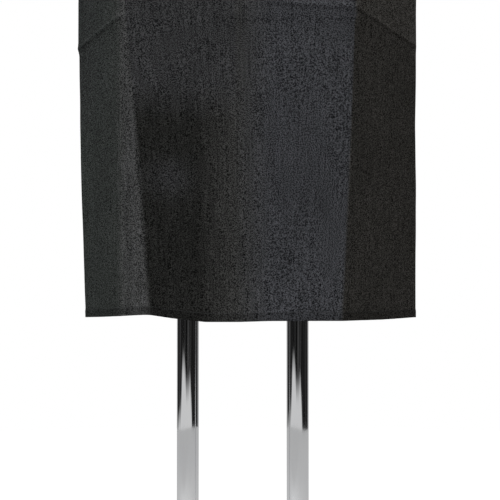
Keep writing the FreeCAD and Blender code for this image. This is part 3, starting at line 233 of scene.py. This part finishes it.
def sewn_mesh(name, points, across, up, girth, pole):
    """A closed band of quads from rows of points that run anticlockwise, with a fan to one pole
    at its top, and a UV map of the distance across and up in metres."""
    rows, columns = points.shape[:2]
    mesh = bpy.data.meshes.new(name)
    index = np.arange(rows * columns).reshape(rows, columns)
    right = np.roll(index, -1, 1)
    quads = np.stack([index[:-1], right[:-1], right[1:], index[1:]], 2).reshape(-1, 4)
    vertices = np.vstack([points.reshape(-1, 3), pole])
    last = np.full(columns, len(vertices) - 1)
    fan = np.stack([index[-1], right[-1], last], 1)
    mesh.from_pydata(vertices.tolist(), [], quads.tolist() + fan.tolist())
    u = np.append(across.reshape(-1), 0.0)
    v = np.append(up.reshape(-1), up.max() + 0.01)
    corner = np.empty(len(mesh.loops), np.int32)
    mesh.loops.foreach_get("vertex_index", corner)
    starts = np.empty(len(mesh.polygons), np.int32)
    mesh.polygons.foreach_get("loop_start", starts)
    first = u[corner[starts]]
    owner = np.searchsorted(starts, np.arange(len(corner)), side="right") - 1
    wrapped = u[corner] + girth * ((first[owner] - u[corner]) > girth / 2)
    uv = mesh.uv_layers.new(name="Cloth")
    uv.data.foreach_set("uv", np.stack([wrapped, v[corner]], 1).astype(np.float32).ravel())
    mesh.polygons.foreach_set("use_smooth", np.ones(len(mesh.polygons), bool))
    mesh.update()
    made = bpy.data.objects.new(name, mesh)
    bpy.context.scene.collection.objects.link(made)
    return made


def feed(tree, socket, value):
    """Joins a node's output to a socket, or sets the socket to a plain value."""
    if isinstance(value, bpy.types.NodeSocket):
        tree.links.new(value, socket)
    else:
        socket.default_value = value


def node(tree, kind, settings=None, **sockets):
    """Adds a shader node. Each socket is named with _ for a space, or _0, _1 by its number, and
    takes a value or another node's output."""
    made = tree.nodes.new("ShaderNode" + kind)
    for key, value in (settings or {}).items():
        setattr(made, key, value)
    for key, value in sockets.items():
        chosen = int(key[1:]) if key[0] == "_" else key.replace("_", " ")
        feed(tree, made.inputs[chosen], value)
    return made


def ramp(tree, value, low, high, out_low=0.0, out_high=1.0):
    """The value stretched from low..high to out_low..out_high, and clamped."""
    return node(tree, "MapRange", _0=value, _1=low, _2=high, _3=out_low, _4=out_high).outputs[0]


def maths(tree, operation, first, second=0.0):
    """One sum, product or function of two values."""
    return node(tree, "Math", {"operation": operation}, _0=first, _1=second).outputs[0]


def blend_colour(tree, factor, first, second, how="MIX"):
    """The first colour with the second laid over it by the factor."""
    made = tree.nodes.new("ShaderNodeMix")
    made.data_type = "RGBA"
    made.blend_type = how
    for number, value in ((0, factor), (6, first), (7, second)):
        feed(tree, made.inputs[number], value)
    return made.outputs[2]


def shade(colour):
    """Red, green and blue with full opacity."""
    return (*colour, 1.0)


def bell(tree, value, centre, wide):
    """1 where the value is at the centre, falling off smoothly either side of it."""
    away = maths(tree, "DIVIDE", maths(tree, "SUBTRACT", value, centre), wide)
    squared = maths(tree, "MULTIPLY", away, away)
    return maths(tree, "EXPONENT", maths(tree, "MULTIPLY", squared, -1.0))


def new_material(name):
    """A material, its node tree and its Principled shader."""
    material = bpy.data.materials.new(name)
    material.use_nodes = True
    tree = material.node_tree
    return material, tree, tree.nodes["Principled BSDF"]


# Painted shade and highlights: how pale each panel is painted, by distance round the girth in metres,
# and at the back.
PAINTED_PANEL_TONES = (
    (0.500, (0.86, 0.94, 0.89)), (0.860, (0.92, 0.98, 0.93)), (0.898, (1.18, 1.21, 1.17)),
    (0.909, (0.98, 0.98, 0.98)), (0.913, (1.26, 1.26, 1.26)), (0.917, (1.26, 1.26, 1.26)),
    (0.922, (0.52, 0.52, 0.49)), (1.050, (0.52, 0.52, 0.49)), (1.095, (0.65, 0.64, 0.61)),
    (1.150, (0.91, 0.90, 0.87)), (1.240, (1.14, 1.16, 1.28)), (1.412, (1.15, 1.17, 1.28)),
    (1.418, (1.22, 1.16, 1.07)), (1.800, (1.22, 1.16, 1.07)),
)
BACK_TONE = (0.70, 0.72, 0.70)


def panel_painted_shading(tree, across):
    """The painted shade and highlights of each panel, as a colour ramp over the distance round the
    girth.
    """
    panels = tree.nodes.new("ShaderNodeValToRGB")
    stops = panels.color_ramp.elements
    stops[0].color = shade(BACK_TONE)
    stops[1].color = shade(BACK_TONE)
    for girth_at, painted_tone in PAINTED_PANEL_TONES:
        stops.new(girth_at / COVER_GIRTH).color = shade(painted_tone)
    tree.links.new(maths(tree, "DIVIDE", across, COVER_GIRTH), panels.inputs[0])
    return panels.outputs[0]


def rim_painted_light(tree, place):
    """How much paler or darker the cloth is painted near the hood's rim: a painted highlight on the
    edge, a painted shadow under it, and painted light on the cloth over it on the right. The edge is
    level at the back and climbs towards the front right, and it is not marked across the slack front
    left."""
    x, y, z = node(tree, "SeparateXYZ", _0=place).outputs
    right = ramp(tree, x, 0.0, 0.05)
    side_climb = maths(tree, "MULTIPLY", ramp(tree, y, 0.155, -0.23, 0.0, 0.015), right)
    front_climb = maths(tree, "MULTIPLY", ramp(tree, x, 0.25, 0.07, 0.0, 0.014), right)
    climb = maths(tree, "ADD", side_climb, front_climb)
    above = maths(tree, "SUBTRACT", maths(tree, "SUBTRACT", z, RIM_LEVEL), climb)
    marked = maths(tree, "MAXIMUM", ramp(tree, x, 0.045, 0.075), ramp(tree, x, -0.235, -0.250))
    rim_highlight = maths(tree, "MULTIPLY", bell(tree, above, 0.004, 0.004), 0.26)
    rim_shadow = maths(tree, "MULTIPLY", bell(tree, above, -0.005, 0.005), 0.30)
    line = maths(tree, "MULTIPLY", maths(tree, "SUBTRACT", rim_highlight, rim_shadow), marked)
    # Painted light on the cloth above the rim on the right.
    over_edge = ramp(tree, above, 0.0, 0.004, 0.0, 0.24)
    clean_coat_and_lit_cloth = maths(tree, "MULTIPLY", ramp(tree, x, 0.245, 0.26), over_edge)
    return maths(tree, "ADD", line, clean_coat_and_lit_cloth)


def cover_cloth():
    """Plain weave: crossed threads about a millimetre apart, lighter and darker yarns, painted shade
    and highlights over the panels, and a row of lockstitch above the hem."""
    material, tree, surface = new_material("cover_cloth")
    place = node(tree, "TexCoord").outputs["Object"]
    cloth = node(tree, "UVMap", {"uv_map": "Cloth"}).outputs[0]
    across, up, _ = node(tree, "SeparateXYZ", _0=cloth).outputs

    # Threads, specks of uneven yarn, slubs that run up the cloth, and slow clouds of dye.
    yarn_turn = 2 * math.pi / 0.0011
    weft = maths(tree, "SINE", maths(tree, "MULTIPLY", up, yarn_turn))
    warp = maths(tree, "SINE", maths(tree, "MULTIPLY", across, yarn_turn))
    weave = maths(tree, "MULTIPLY", warp, weft)
    squeezed = node(tree, "Mapping", Vector=place, Scale=(1.0, 0.3, 1.0)).outputs[0]
    speck = node(tree, "TexNoise", Vector=squeezed, Scale=470.0, Detail=1.0, Roughness=0.6).outputs[0]
    drawn_up = node(tree, "Mapping", Vector=cloth, Scale=(240.0, 10.0, 1.0)).outputs[0]
    slub = node(tree, "TexNoise", Vector=drawn_up, Scale=1.0, Detail=2.0).outputs[0]
    cloud = node(tree, "TexNoise", Vector=place, Scale=4.5, Detail=3.0, Roughness=0.6).outputs[0]

    specks = ramp(tree, speck, 0.41, 0.61, 0.0, 0.74)
    yarn = maths(tree, "ADD", specks, ramp(tree, slub, 0.3, 0.7, -0.04, 0.18))
    yarn = maths(tree, "ADD", yarn, maths(tree, "MULTIPLY", weave, 0.10))
    colour = blend_colour(tree, yarn, shade((0.002, 0.002, 0.002)), shade((0.170, 0.170, 0.170)))
    faded = ramp(tree, cloud, 0.35, 0.65, 0.0, 0.22)
    colour = blend_colour(tree, faded, colour, shade((0.020, 0.0215, 0.0195)))

    # Painted highlights: the dark front panels are painted paler near the top and on the lit side of
    # a pucker.
    near_top = ramp(tree, up, 0.43, 0.51)
    painted_tone = panel_painted_shading(tree, across)
    painted_tone = blend_colour(tree, near_top, painted_tone, shade((0.90, 0.90, 0.93)), "LIGHTEN")
    pucker_highlight = maths(tree, "MULTIPLY", bell(tree, across, 0.985, 0.055), bell(tree, up, 0.304, 0.036))
    pucker_highlight = maths(tree, "MULTIPLY", pucker_highlight, 0.9)
    painted_tone = blend_colour(tree, pucker_highlight, painted_tone, shade((1.00, 1.00, 1.04)), "LIGHTEN")
    # Painted light: paler towards the hem, times the painted highlight and shadow along the rim.
    low_down = ramp(tree, up, 0.0, 0.30, 1.14, 1.0)
    painted_light = maths(tree, "MULTIPLY", low_down, maths(tree, "ADD", rim_painted_light(tree, place), 1.0))
    painted_light = node(tree, "CombineColor", _0=painted_light, _1=painted_light, _2=painted_light).outputs[0]
    painted_tone = blend_colour(tree, 1.0, painted_tone, painted_light, "MULTIPLY")
    colour = blend_colour(tree, 1.0, colour, painted_tone, "MULTIPLY")

    # Lockstitch in a paler thread, and the doubled hem below it.
    from_row = maths(tree, "ABSOLUTE", maths(tree, "SUBTRACT", up, STITCH_ROW))
    along_row = maths(tree, "FRACT", maths(tree, "DIVIDE", across, 0.0042))
    on_row = maths(tree, "LESS_THAN", from_row, 0.0007)
    stitch = maths(tree, "MULTIPLY", on_row, maths(tree, "LESS_THAN", along_row, 0.72))
    thread = maths(tree, "MULTIPLY", stitch, 0.75)
    colour = blend_colour(tree, thread, colour, shade((0.075, 0.076, 0.078)))
    doubled = maths(tree, "MULTIPLY", maths(tree, "LESS_THAN", up, 0.0180), 0.30)
    colour = blend_colour(tree, doubled, colour, shade((0.010, 0.010, 0.010)))
    tree.links.new(colour, surface.inputs["Base Color"])

    tree.links.new(ramp(tree, speck, 0.42, 0.60, 0.34, 0.56), surface.inputs["Roughness"])
    height = maths(tree, "MULTIPLY", weave, 0.35)
    height = maths(tree, "ADD", height, maths(tree, "MULTIPLY", speck, 2.4))
    height = maths(tree, "ADD", height, maths(tree, "MULTIPLY", stitch, 1.5))
    bump = node(tree, "Bump", Strength=0.75, Distance=0.0008, Height=height)
    tree.links.new(bump.outputs[0], surface.inputs["Normal"])
    surface.inputs["Specular IOR Level"].default_value = 0.0
    return material


points, along, path, girth = cover_surface()
cover = sewn_mesh("cover_cloth", points, along, path, girth, (*TOP_MIDDLE, TOP_LEVEL + 0.0075))
cover.data.materials.append(cover_cloth())
thickness = cover.modifiers.new("Cloth thickness", "SOLIDIFY")
thickness.thickness = CLOTH_THICKNESS
thickness.offset = -1.0
thickness.use_even_offset = False
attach(cover, "cover")
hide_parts("head_cover")


# ---- posts ----------------------------------------------------------------------------------
# Two straight 2 inch steel tubes, polished and chrome plated, with chromed trim collars at the
# foot. The plating is a mirror with only the faintest wipe marks along the tube.


def effect_group(name, inputs, outputs):
    """An empty node group: its tree, its input sockets by name, and its output sockets."""
    tree = bpy.data.node_groups.new(name, "ShaderNodeTree")
    for label, value in inputs.items():
        made = tree.interface.new_socket(label, in_out="INPUT", socket_type="NodeSocketFloat")
        made.default_value = value
    for label, kind in outputs.items():
        tree.interface.new_socket(label, in_out="OUTPUT", socket_type="NodeSocket" + kind)
    came = tree.nodes.new("NodeGroupInput")
    gone = tree.nodes.new("NodeGroupOutput")
    return tree, {socket.name: socket for socket in came.outputs if socket.name}, gone.inputs


def placed_group(tree, group, **values):
    """The outputs of a node group placed in a material with its own values."""
    made = tree.nodes.new("ShaderNodeGroup")
    made.node_tree = group
    for key, value in values.items():
        made.inputs[key.replace("_", " ")].default_value = value
    return made.outputs


# Grain: a slow cloud, a fine noise that can be drawn out along one way, and its relief.
surface_grain, given, out = effect_group(
    "surface_grain",
    {
        "Broad Scale": 4.0, "Fine Scale": 300.0, "Depth": 0.1,
        "Along X": 1.0, "Along Y": 1.0, "Along Z": 1.0,
    },
    {"Broad": "Float", "Fine": "Float", "Normal": "Vector"},
)
stretch = node(
    surface_grain, "CombineXYZ", _0=given["Along X"], _1=given["Along Y"], _2=given["Along Z"]
).outputs[0]
place = node(surface_grain, "TexCoord").outputs["Object"]
drawn_out = node(
    surface_grain, "VectorMath", {"operation": "MULTIPLY"}, _0=place, _1=stretch
).outputs[0]
broad = node(surface_grain, "TexNoise", Vector=place, Scale=given["Broad Scale"], Detail=3.0)
fine = node(surface_grain, "TexNoise", Vector=drawn_out, Scale=given["Fine Scale"], Detail=2.0)
tooth = node(
    surface_grain, "Bump", Strength=given["Depth"], Distance=0.0004, Height=fine.outputs[0]
)
surface_grain.links.new(broad.outputs[0], out["Broad"])
surface_grain.links.new(fine.outputs[0], out["Fine"])
surface_grain.links.new(tooth.outputs[0], out["Normal"])


def finish(name, colour, second, metallic, smooth_as, rough_as, broad=4.0, fine=300.0,
           along=(1, 1, 1), depth=0.1, coat=0.0, level=0.5):
    """A finish whose colour and roughness wander between two values with the surface's grain."""
    material, tree, surface = new_material(name)
    grain = placed_group(
        tree, surface_grain, Broad_Scale=broad, Fine_Scale=fine, Depth=depth,
        Along_X=along[0], Along_Y=along[1], Along_Z=along[2]
    )
    slow = ramp(tree, grain["Broad"], 0.35, 0.65, 0, 0.6)
    quick = ramp(tree, grain["Fine"], 0.3, 0.7, 0, 0.4)
    both = maths(tree, "ADD", slow, quick)
    mixed = blend_colour(tree, both, shade(colour), shade(second))
    tree.links.new(mixed, surface.inputs["Base Color"])
    tree.links.new(ramp(tree, both, 0.0, 1.0, smooth_as, rough_as), surface.inputs["Roughness"])
    tree.links.new(grain["Normal"], surface.inputs["Normal"])
    surface.inputs["Metallic"].default_value = metallic
    surface.inputs["Coat Weight"].default_value = coat
    surface.inputs["Specular IOR Level"].default_value = level
    return material


def dress(material, *names):
    """Gives CAD nodes their material."""
    for name in names:
        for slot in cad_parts[name].material_slots:
            slot.material = material


chrome = finish(
    "chrome_plate", (0.82, 0.825, 0.83), (0.78, 0.785, 0.80), 1.0, 0.018, 0.05,
    broad=9.0, fine=160.0, along=(1, 1, 0.06), depth=0.004
)
dress(chrome, "post_left", "post_right", "post_collars", "door_handle", "axle_caps", "hood_nuts")


# ---- base -----------------------------------------------------------------------------------
# A pressed steel pan, powder coated satin black, on six rubber feet, with a steel ballast plate
# bolted under its top. Dust settles on the top and along the lip.

powder_black = finish(
    "powder_coat_black", (0.012, 0.012, 0.0125), (0.022, 0.022, 0.022), 0.0, 0.30, 0.46,
    broad=5.0, fine=900.0, depth=0.16, coat=0.12
)
rubber = finish(
    "moulded_rubber", (0.010, 0.010, 0.010), (0.020, 0.020, 0.020), 0.0, 0.60, 0.82,
    broad=12.0, fine=600.0, depth=0.25, level=0.35
)

# Dust: a cloudy mask that is full at the low height and gone at the high one.
settled_dust, given, out = effect_group(
    "settled_dust", {"Low": 0.0, "High": 0.1}, {"Mask": "Float"}
)
place = node(settled_dust, "TexCoord").outputs["Object"]
height = node(settled_dust, "SeparateXYZ", _0=place).outputs[2]
cloud = node(settled_dust, "TexNoise", Vector=place, Scale=14.0, Detail=4.0).outputs[0]
fallen = ramp(settled_dust, height, given["Low"], given["High"], 1.0, 0.0)
patchy = ramp(settled_dust, cloud, 0.45, 0.75, 0.0, 0.35)
settled_dust.links.new(maths(settled_dust, "MULTIPLY", fallen, patchy), out["Mask"])


def dusty(name, colour, second, low, high):
    """Powder coat that gathers pale dust between two heights above the floor."""
    material = finish(
        name, colour, second, 0.0, 0.30, 0.46, broad=5.0, fine=900.0, depth=0.16, coat=0.10
    )
    tree = material.node_tree
    base_colour = tree.nodes["Principled BSDF"].inputs["Base Color"]
    mask = placed_group(tree, settled_dust, Low=low, High=high)["Mask"]
    clean_coat_and_lit_cloth = base_colour.links[0].from_socket
    tree.links.new(blend_colour(tree, mask, clean_coat_and_lit_cloth, shade((0.16, 0.145, 0.125))), base_colour)
    return material


base_coat = dusty("base_coat", (0.012, 0.012, 0.0125), (0.022, 0.022, 0.022), 0.0, 0.060)
dress(base_coat, "base_pan")
dress(powder_black, "ballast_plate", "wheel_brackets", "door_hinges", "head_bracket")
dress(rubber, "base_feet", "gas_hose")


# ---- wheels ---------------------------------------------------------------------------------
# Two moulded plastic hubs with ribbed rubber tyres on a plain zinc-plated axle.

zinc = finish(
    "zinc_plate", (0.50, 0.51, 0.52), (0.62, 0.62, 0.60), 1.0, 0.26, 0.44,
    broad=20.0, fine=220.0, depth=0.06
)
moulded_black = finish(
    "moulded_black", (0.014, 0.014, 0.014), (0.026, 0.026, 0.026), 0.0, 0.38, 0.55,
    broad=10.0, fine=1200.0, depth=0.18
)
tyre_rubber = finish(
    "tyre_rubber", (0.012, 0.012, 0.012), (0.034, 0.032, 0.029), 0.0, 0.70, 0.88,
    broad=16.0, fine=500.0, depth=0.35, level=0.3
)
dress(zinc, "wheel_axle", "frame_legs", "frame_bolts", "post_bracket", "hinge_pins", "door_catch",
      "post_screws", "head_bolts", "sheet_screws", "hood_studs", "stud_sleeves", "reflector_stay")
dress(moulded_black, "wheel_hub_left", "wheel_hub_right", "cylinder_handwheel", "coupling_nut",
      "control_knob", "piezo_igniter", "tilt_switch")
dress(tyre_rubber, "wheel_tyre_left", "wheel_tyre_right")


# ---- tank housing ---------------------------------------------------------------------------
# Rolled steel drum with a curved door and a pressed lid, all in the same satin black coat.

housing_coat = dusty("housing_coat", (0.0125, 0.0125, 0.013), (0.021, 0.021, 0.0215), 0.045, 0.22)
dress(housing_coat, "tank_housing", "tank_door")
dress(powder_black, "housing_lid")


# ---- gas supply -----------------------------------------------------------------------------
# A painted steel cylinder with a turned brass valve, a die-cast regulator and a rubber hose.

cylinder_paint = finish(
    "cylinder_paint", (0.40, 0.42, 0.43), (0.50, 0.51, 0.52), 0.0, 0.30, 0.50,
    broad=7.0, fine=140.0, depth=0.10, coat=0.2
)
brass = finish(
    "turned_brass", (0.66, 0.47, 0.20), (0.78, 0.60, 0.30), 1.0, 0.20, 0.36,
    broad=30.0, fine=500.0, depth=0.05
)
die_cast = finish(
    "die_cast", (0.38, 0.39, 0.40), (0.50, 0.50, 0.51), 1.0, 0.42, 0.60,
    broad=25.0, fine=700.0, depth=0.20
)
dress(cylinder_paint, "gas_cylinder")
dress(brass, "cylinder_valve", "burner_jet", "valve_stem", "thermocouple")
dress(die_cast, "gas_regulator", "gas_valve")


# ---- control box ----------------------------------------------------------------------------
# Folded sheet box in black with a brushed stainless panel; small pipes of bright aluminium.

brushed_panel = finish(
    "brushed_panel", (0.56, 0.56, 0.55), (0.66, 0.66, 0.65), 1.0, 0.22, 0.36,
    broad=6.0, fine=700.0, along=(0.03, 1, 1), depth=0.08
)
igniter_red = finish(
    "igniter_red", (0.36, 0.020, 0.014), (0.46, 0.035, 0.022), 0.0, 0.22, 0.34,
    broad=20.0, fine=900.0, depth=0.04, coat=0.4
)
pipe_aluminium = finish(
    "pipe_aluminium", (0.74, 0.74, 0.75), (0.80, 0.80, 0.80), 1.0, 0.20, 0.34,
    broad=30.0, fine=400.0, depth=0.04
)
lead_ceramic = finish(
    "lead_ceramic", (0.70, 0.67, 0.60), (0.78, 0.76, 0.70), 0.0, 0.25, 0.40,
    broad=30.0, fine=500.0, depth=0.05
)
dress(powder_black, "control_box")
dress(brushed_panel, "control_panel")
dress(igniter_red, "igniter_button")
dress(pipe_aluminium, "burner_pipe", "pilot_pipe")
dress(lead_ceramic, "igniter_lead")


# ---- burner ---------------------------------------------------------------------------------
# Stainless burner and perforated emitter, blued and straw-coloured by heat.

heat_steel = finish(
    "heated_steel", (0.34, 0.30, 0.27), (0.50, 0.46, 0.42), 1.0, 0.28, 0.48,
    broad=12.0, fine=350.0, depth=0.08
)
bright_sheet = finish(
    "bright_sheet", (0.66, 0.66, 0.655), (0.74, 0.74, 0.735), 1.0, 0.14, 0.26,
    broad=4.0, fine=500.0, along=(0.05, 1, 1), depth=0.04
)
dress(heat_steel, "burner", "pilot_burner")
dress(bright_sheet, "burner_deck", "emitter_cap")


def perforated_tube(name, radius, low, high, around, rows, open_share):
    """A tube of thin sheet with staggered six-sided holes: each cell of the wrapped grid is a
    hexagon of the unrolled tube with a smaller hexagon, open_share of its size, taken out."""
    pitch = 2 * math.pi / around
    tall = (high - low) / rows
    row, column = np.meshgrid(np.arange(rows), np.arange(around), indexing="ij")
    angle = (column + 0.5 * (row % 2)) * pitch
    level = low + (row + 0.5) * tall
    turn = np.radians([30, 90, 150, 210, 270, 330])
    rim_angle = np.cos(turn) * pitch / math.sqrt(3)
    rim_level = np.sin(turn) * tall * 2 / 3
    size = np.array([1.0, open_share])[:, None]
    corner_angle = angle[..., None, None] + size * rim_angle
    corner_level = level[..., None, None] + size * rim_level
    turned = corner_angle.ravel()
    height = np.clip(corner_level.ravel(), low, high)
    vertices = np.stack([radius * np.cos(turned), radius * np.sin(turned), height], 1)
    first = np.arange(rows * around)[:, None] * 12
    side = np.arange(6)
    after = (side + 1) % 6
    faces = np.stack([first + side, first + after, first + 6 + after, first + 6 + side], -1)
    mesh = bpy.data.meshes.new(name)
    mesh.from_pydata(vertices.tolist(), [], faces.reshape(-1, 4).tolist())
    mesh.polygons.foreach_set("use_smooth", np.ones(len(mesh.polygons), bool))
    mesh.update()
    made = bpy.data.objects.new(name, mesh)
    bpy.context.scene.collection.objects.link(made)
    return made


low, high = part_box("emitter_screen")
screen_radius = (high.x - low.x) / 2 - 0.0005
emitter = perforated_tube("emitter_mesh", screen_radius, low.z, high.z, 88, 42, 0.74)
emitter.data.materials.append(heat_steel)
gauge = emitter.modifiers.new("Sheet gauge", "SOLIDIFY")
gauge.thickness = 0.0007
gauge.offset = 0.0
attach(emitter, "heater")
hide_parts("emitter_screen")


# ---- reflector, guard and hood --------------------------------------------------------------
# Polished aluminium sheets that throw the heat down and forward, behind a chromed wire guard.

mirror_sheet = finish(
    "mirror_aluminium", (0.80, 0.80, 0.81), (0.86, 0.86, 0.87), 1.0, 0.10, 0.20,
    broad=3.0, fine=600.0, along=(1, 1, 0.08), depth=0.03
)
dress(mirror_sheet, "back_reflector", "hood_liner", "hood")
dress(chrome, "wire_guard")


# ---- floor, light and camera ----------------------------------------------------------------
# A round pale floor that glows to white at a distance, five soft boxes, and a room whose
# brightness only the pieces see: bright low down, dark above, with faint streaks.

FLOOR_RADIUS = 9.5

corners = 96
turn = np.linspace(0, 2 * np.pi, corners, endpoint=False)
rim = np.stack([FLOOR_RADIUS * np.cos(turn), FLOOR_RADIUS * np.sin(turn), np.zeros(corners)], 1)
floor_mesh = bpy.data.meshes.new("floor")
floor_mesh.from_pydata(rim.tolist(), [], [list(range(corners))])
floor = bpy.data.objects.new("floor", floor_mesh)
bpy.context.scene.collection.objects.link(floor)
floor_paint, tree, surface = new_material("floor_paint")
place = node(tree, "TexCoord").outputs["Object"]
cloud = node(tree, "TexNoise", Vector=place, Scale=1.5, Detail=3.0).outputs[0]
paint = blend_colour(tree, cloud, shade((0.80, 0.80, 0.80)), shade((0.84, 0.84, 0.84)))
tree.links.new(paint, surface.inputs["Base Color"])
surface.inputs["Roughness"].default_value = 0.9
surface.inputs["Specular IOR Level"].default_value = 0.1
rays = node(tree, "LightPath").outputs
spread = node(tree, "VectorMath", {"operation": "LENGTH"}, _0=place).outputs["Value"]
to_camera = maths(tree, "MULTIPLY", rays["Is Camera Ray"], ramp(tree, spread, 1.5, 5.0, 0.62, 1.0))
to_gloss = maths(tree, "MULTIPLY", rays["Is Glossy Ray"], 0.45)
surface.inputs["Emission Color"].default_value = shade((1, 1, 1))
tree.links.new(maths(tree, "ADD", to_camera, to_gloss), surface.inputs["Emission Strength"])
floor_mesh.materials.append(floor_paint)


def soft_box(name, position, target, size, power, colour=(1, 1, 1)):
    """A rectangular area light, width by height, turned to face the target."""
    light = bpy.data.lights.new(name, "AREA")
    light.shape = "RECTANGLE"
    light.size, light.size_y = size
    light.energy = power
    light.color = colour
    made = bpy.data.objects.new(name, light)
    bpy.context.scene.collection.objects.link(made)
    made.location = position
    aim = np.array(target, float) - np.array(position, float)
    flat = math.hypot(aim[0], aim[1])
    made.rotation_euler = (math.atan2(flat, -aim[2]), 0, math.atan2(aim[1], aim[0]) - math.pi / 2)


def bearing(degrees, distance, height):
    """A place at a bearing from the heater's front, turning towards +X."""
    turned = math.radians(degrees)
    return distance * math.sin(turned), -distance * math.cos(turned), height


HEAD = (0, 0, 1.6)
soft_box("key_light", bearing(-37, 5, 3.4), HEAD, (2.8, 2.6), 92, (0.97, 0.985, 1.0))
soft_box("left_light", bearing(-80, 5, 3.4), HEAD, (1.7, 2.6), 22, (0.98, 1.0, 0.99))
soft_box("fill_light", bearing(25, 5, 3.4), HEAD, (1.7, 2.6), 38)
soft_box("right_light", bearing(85, 5, 3.4), HEAD, (1.7, 2.6), 7, (1.0, 0.98, 0.95))
soft_box("top_light", (0.0, 0.0, 6.0), (0, 0, 0), (6.0, 6.0), 60)

world = bpy.data.worlds.new("room")
bpy.context.scene.world = world
world.use_nodes = True
tree = world.node_tree
tree.nodes.clear()
heading = node(tree, "SeparateXYZ", _0=node(tree, "TexCoord").outputs["Generated"]).outputs
turned = maths(tree, "ARCTAN2", heading[0], maths(tree, "MULTIPLY", heading[1], -1.0))
raised = maths(tree, "ARCSINE", heading[2])
wide_way = maths(tree, "MULTIPLY", turned, 7.0)
tall_way = maths(tree, "MULTIPLY", raised, 4.0)
room_map = node(tree, "CombineXYZ", _0=wide_way, _1=tall_way).outputs[0]
streaks = node(tree, "TexNoise", Vector=room_map, Scale=1.0, Detail=3.0, Roughness=0.6).outputs[0]

# The bright floor of the room begins this far below the horizon, in tens of degrees, at each
# bearing from the heater's front.
BRIGHT_BELOW = (
    (-180, 6.4), (-120, 6.4), (-80, 6.0), (-58, 4.2), (-42, 3.5), (-25, 4.1), (-8, 4.8),
    (8, 5.0), (22, 4.6), (42, 5.3), (54, 7.0), (120, 7.2), (180, 7.2),
)
round_room = maths(tree, "ADD", maths(tree, "DIVIDE", turned, 2 * math.pi), 0.5)
edge = node(tree, "FloatCurve", Value=round_room)
curve = edge.mapping.curves[0]
for degrees, drop in BRIGHT_BELOW[1:-1]:
    curve.points.new(degrees / 360 + 0.5, drop / 10)
curve.points[0].location = (0.0, BRIGHT_BELOW[0][1] / 10)
curve.points[len(curve.points) - 1].location = (1.0, BRIGHT_BELOW[-1][1] / 10)
edge.mapping.update()
drop = maths(tree, "MULTIPLY", raised, -18 / math.pi)
uneven = maths(tree, "ADD", drop, maths(tree, "MULTIPLY", streaks, 0.20))
ground = ramp(tree, maths(tree, "SUBTRACT", uneven, edge.outputs[0]), 0.04, 0.16, 0.0, 0.66)
at_back = ramp(tree, maths(tree, "ABSOLUTE", turned), 2.20, 2.45, 0.0, 0.45)
behind = maths(tree, "MULTIPLY", at_back, ramp(tree, raised, -0.01, 0.01, 1.0, 0.0))
gleam = ramp(tree, streaks, 0.48, 0.72, 0.004, 0.10)
level = maths(tree, "MAXIMUM", maths(tree, "MAXIMUM", ground, behind), gleam)
lit = blend_colour(tree, level, shade((0, 0, 0)), shade((1, 1, 1)))
unseen = node(tree, "Background", Color=lit).outputs[0]
shown = node(tree, "Background", Color=shade((1, 1, 1)), Strength=1.0).outputs[0]
to_camera = node(tree, "LightPath").outputs["Is Camera Ray"]
mixed = node(tree, "MixShader", _0=to_camera, _1=unseen, _2=shown).outputs[0]
tree.links.new(mixed, node(tree, "OutputWorld").inputs[0])

camera = bpy.data.objects.new("camera", bpy.data.cameras.new("camera"))
bpy.context.scene.collection.objects.link(camera)
camera.location = (0.144, -2.967, 1.4307)
camera.rotation_euler = (math.radians(90 + 1.346), 0, math.radians(2.45))
camera.data.sensor_width = 36.0
camera.data.lens = 92.3
bpy.context.scene.camera = camera
bpy.context.scene.view_settings.view_transform = "Standard"
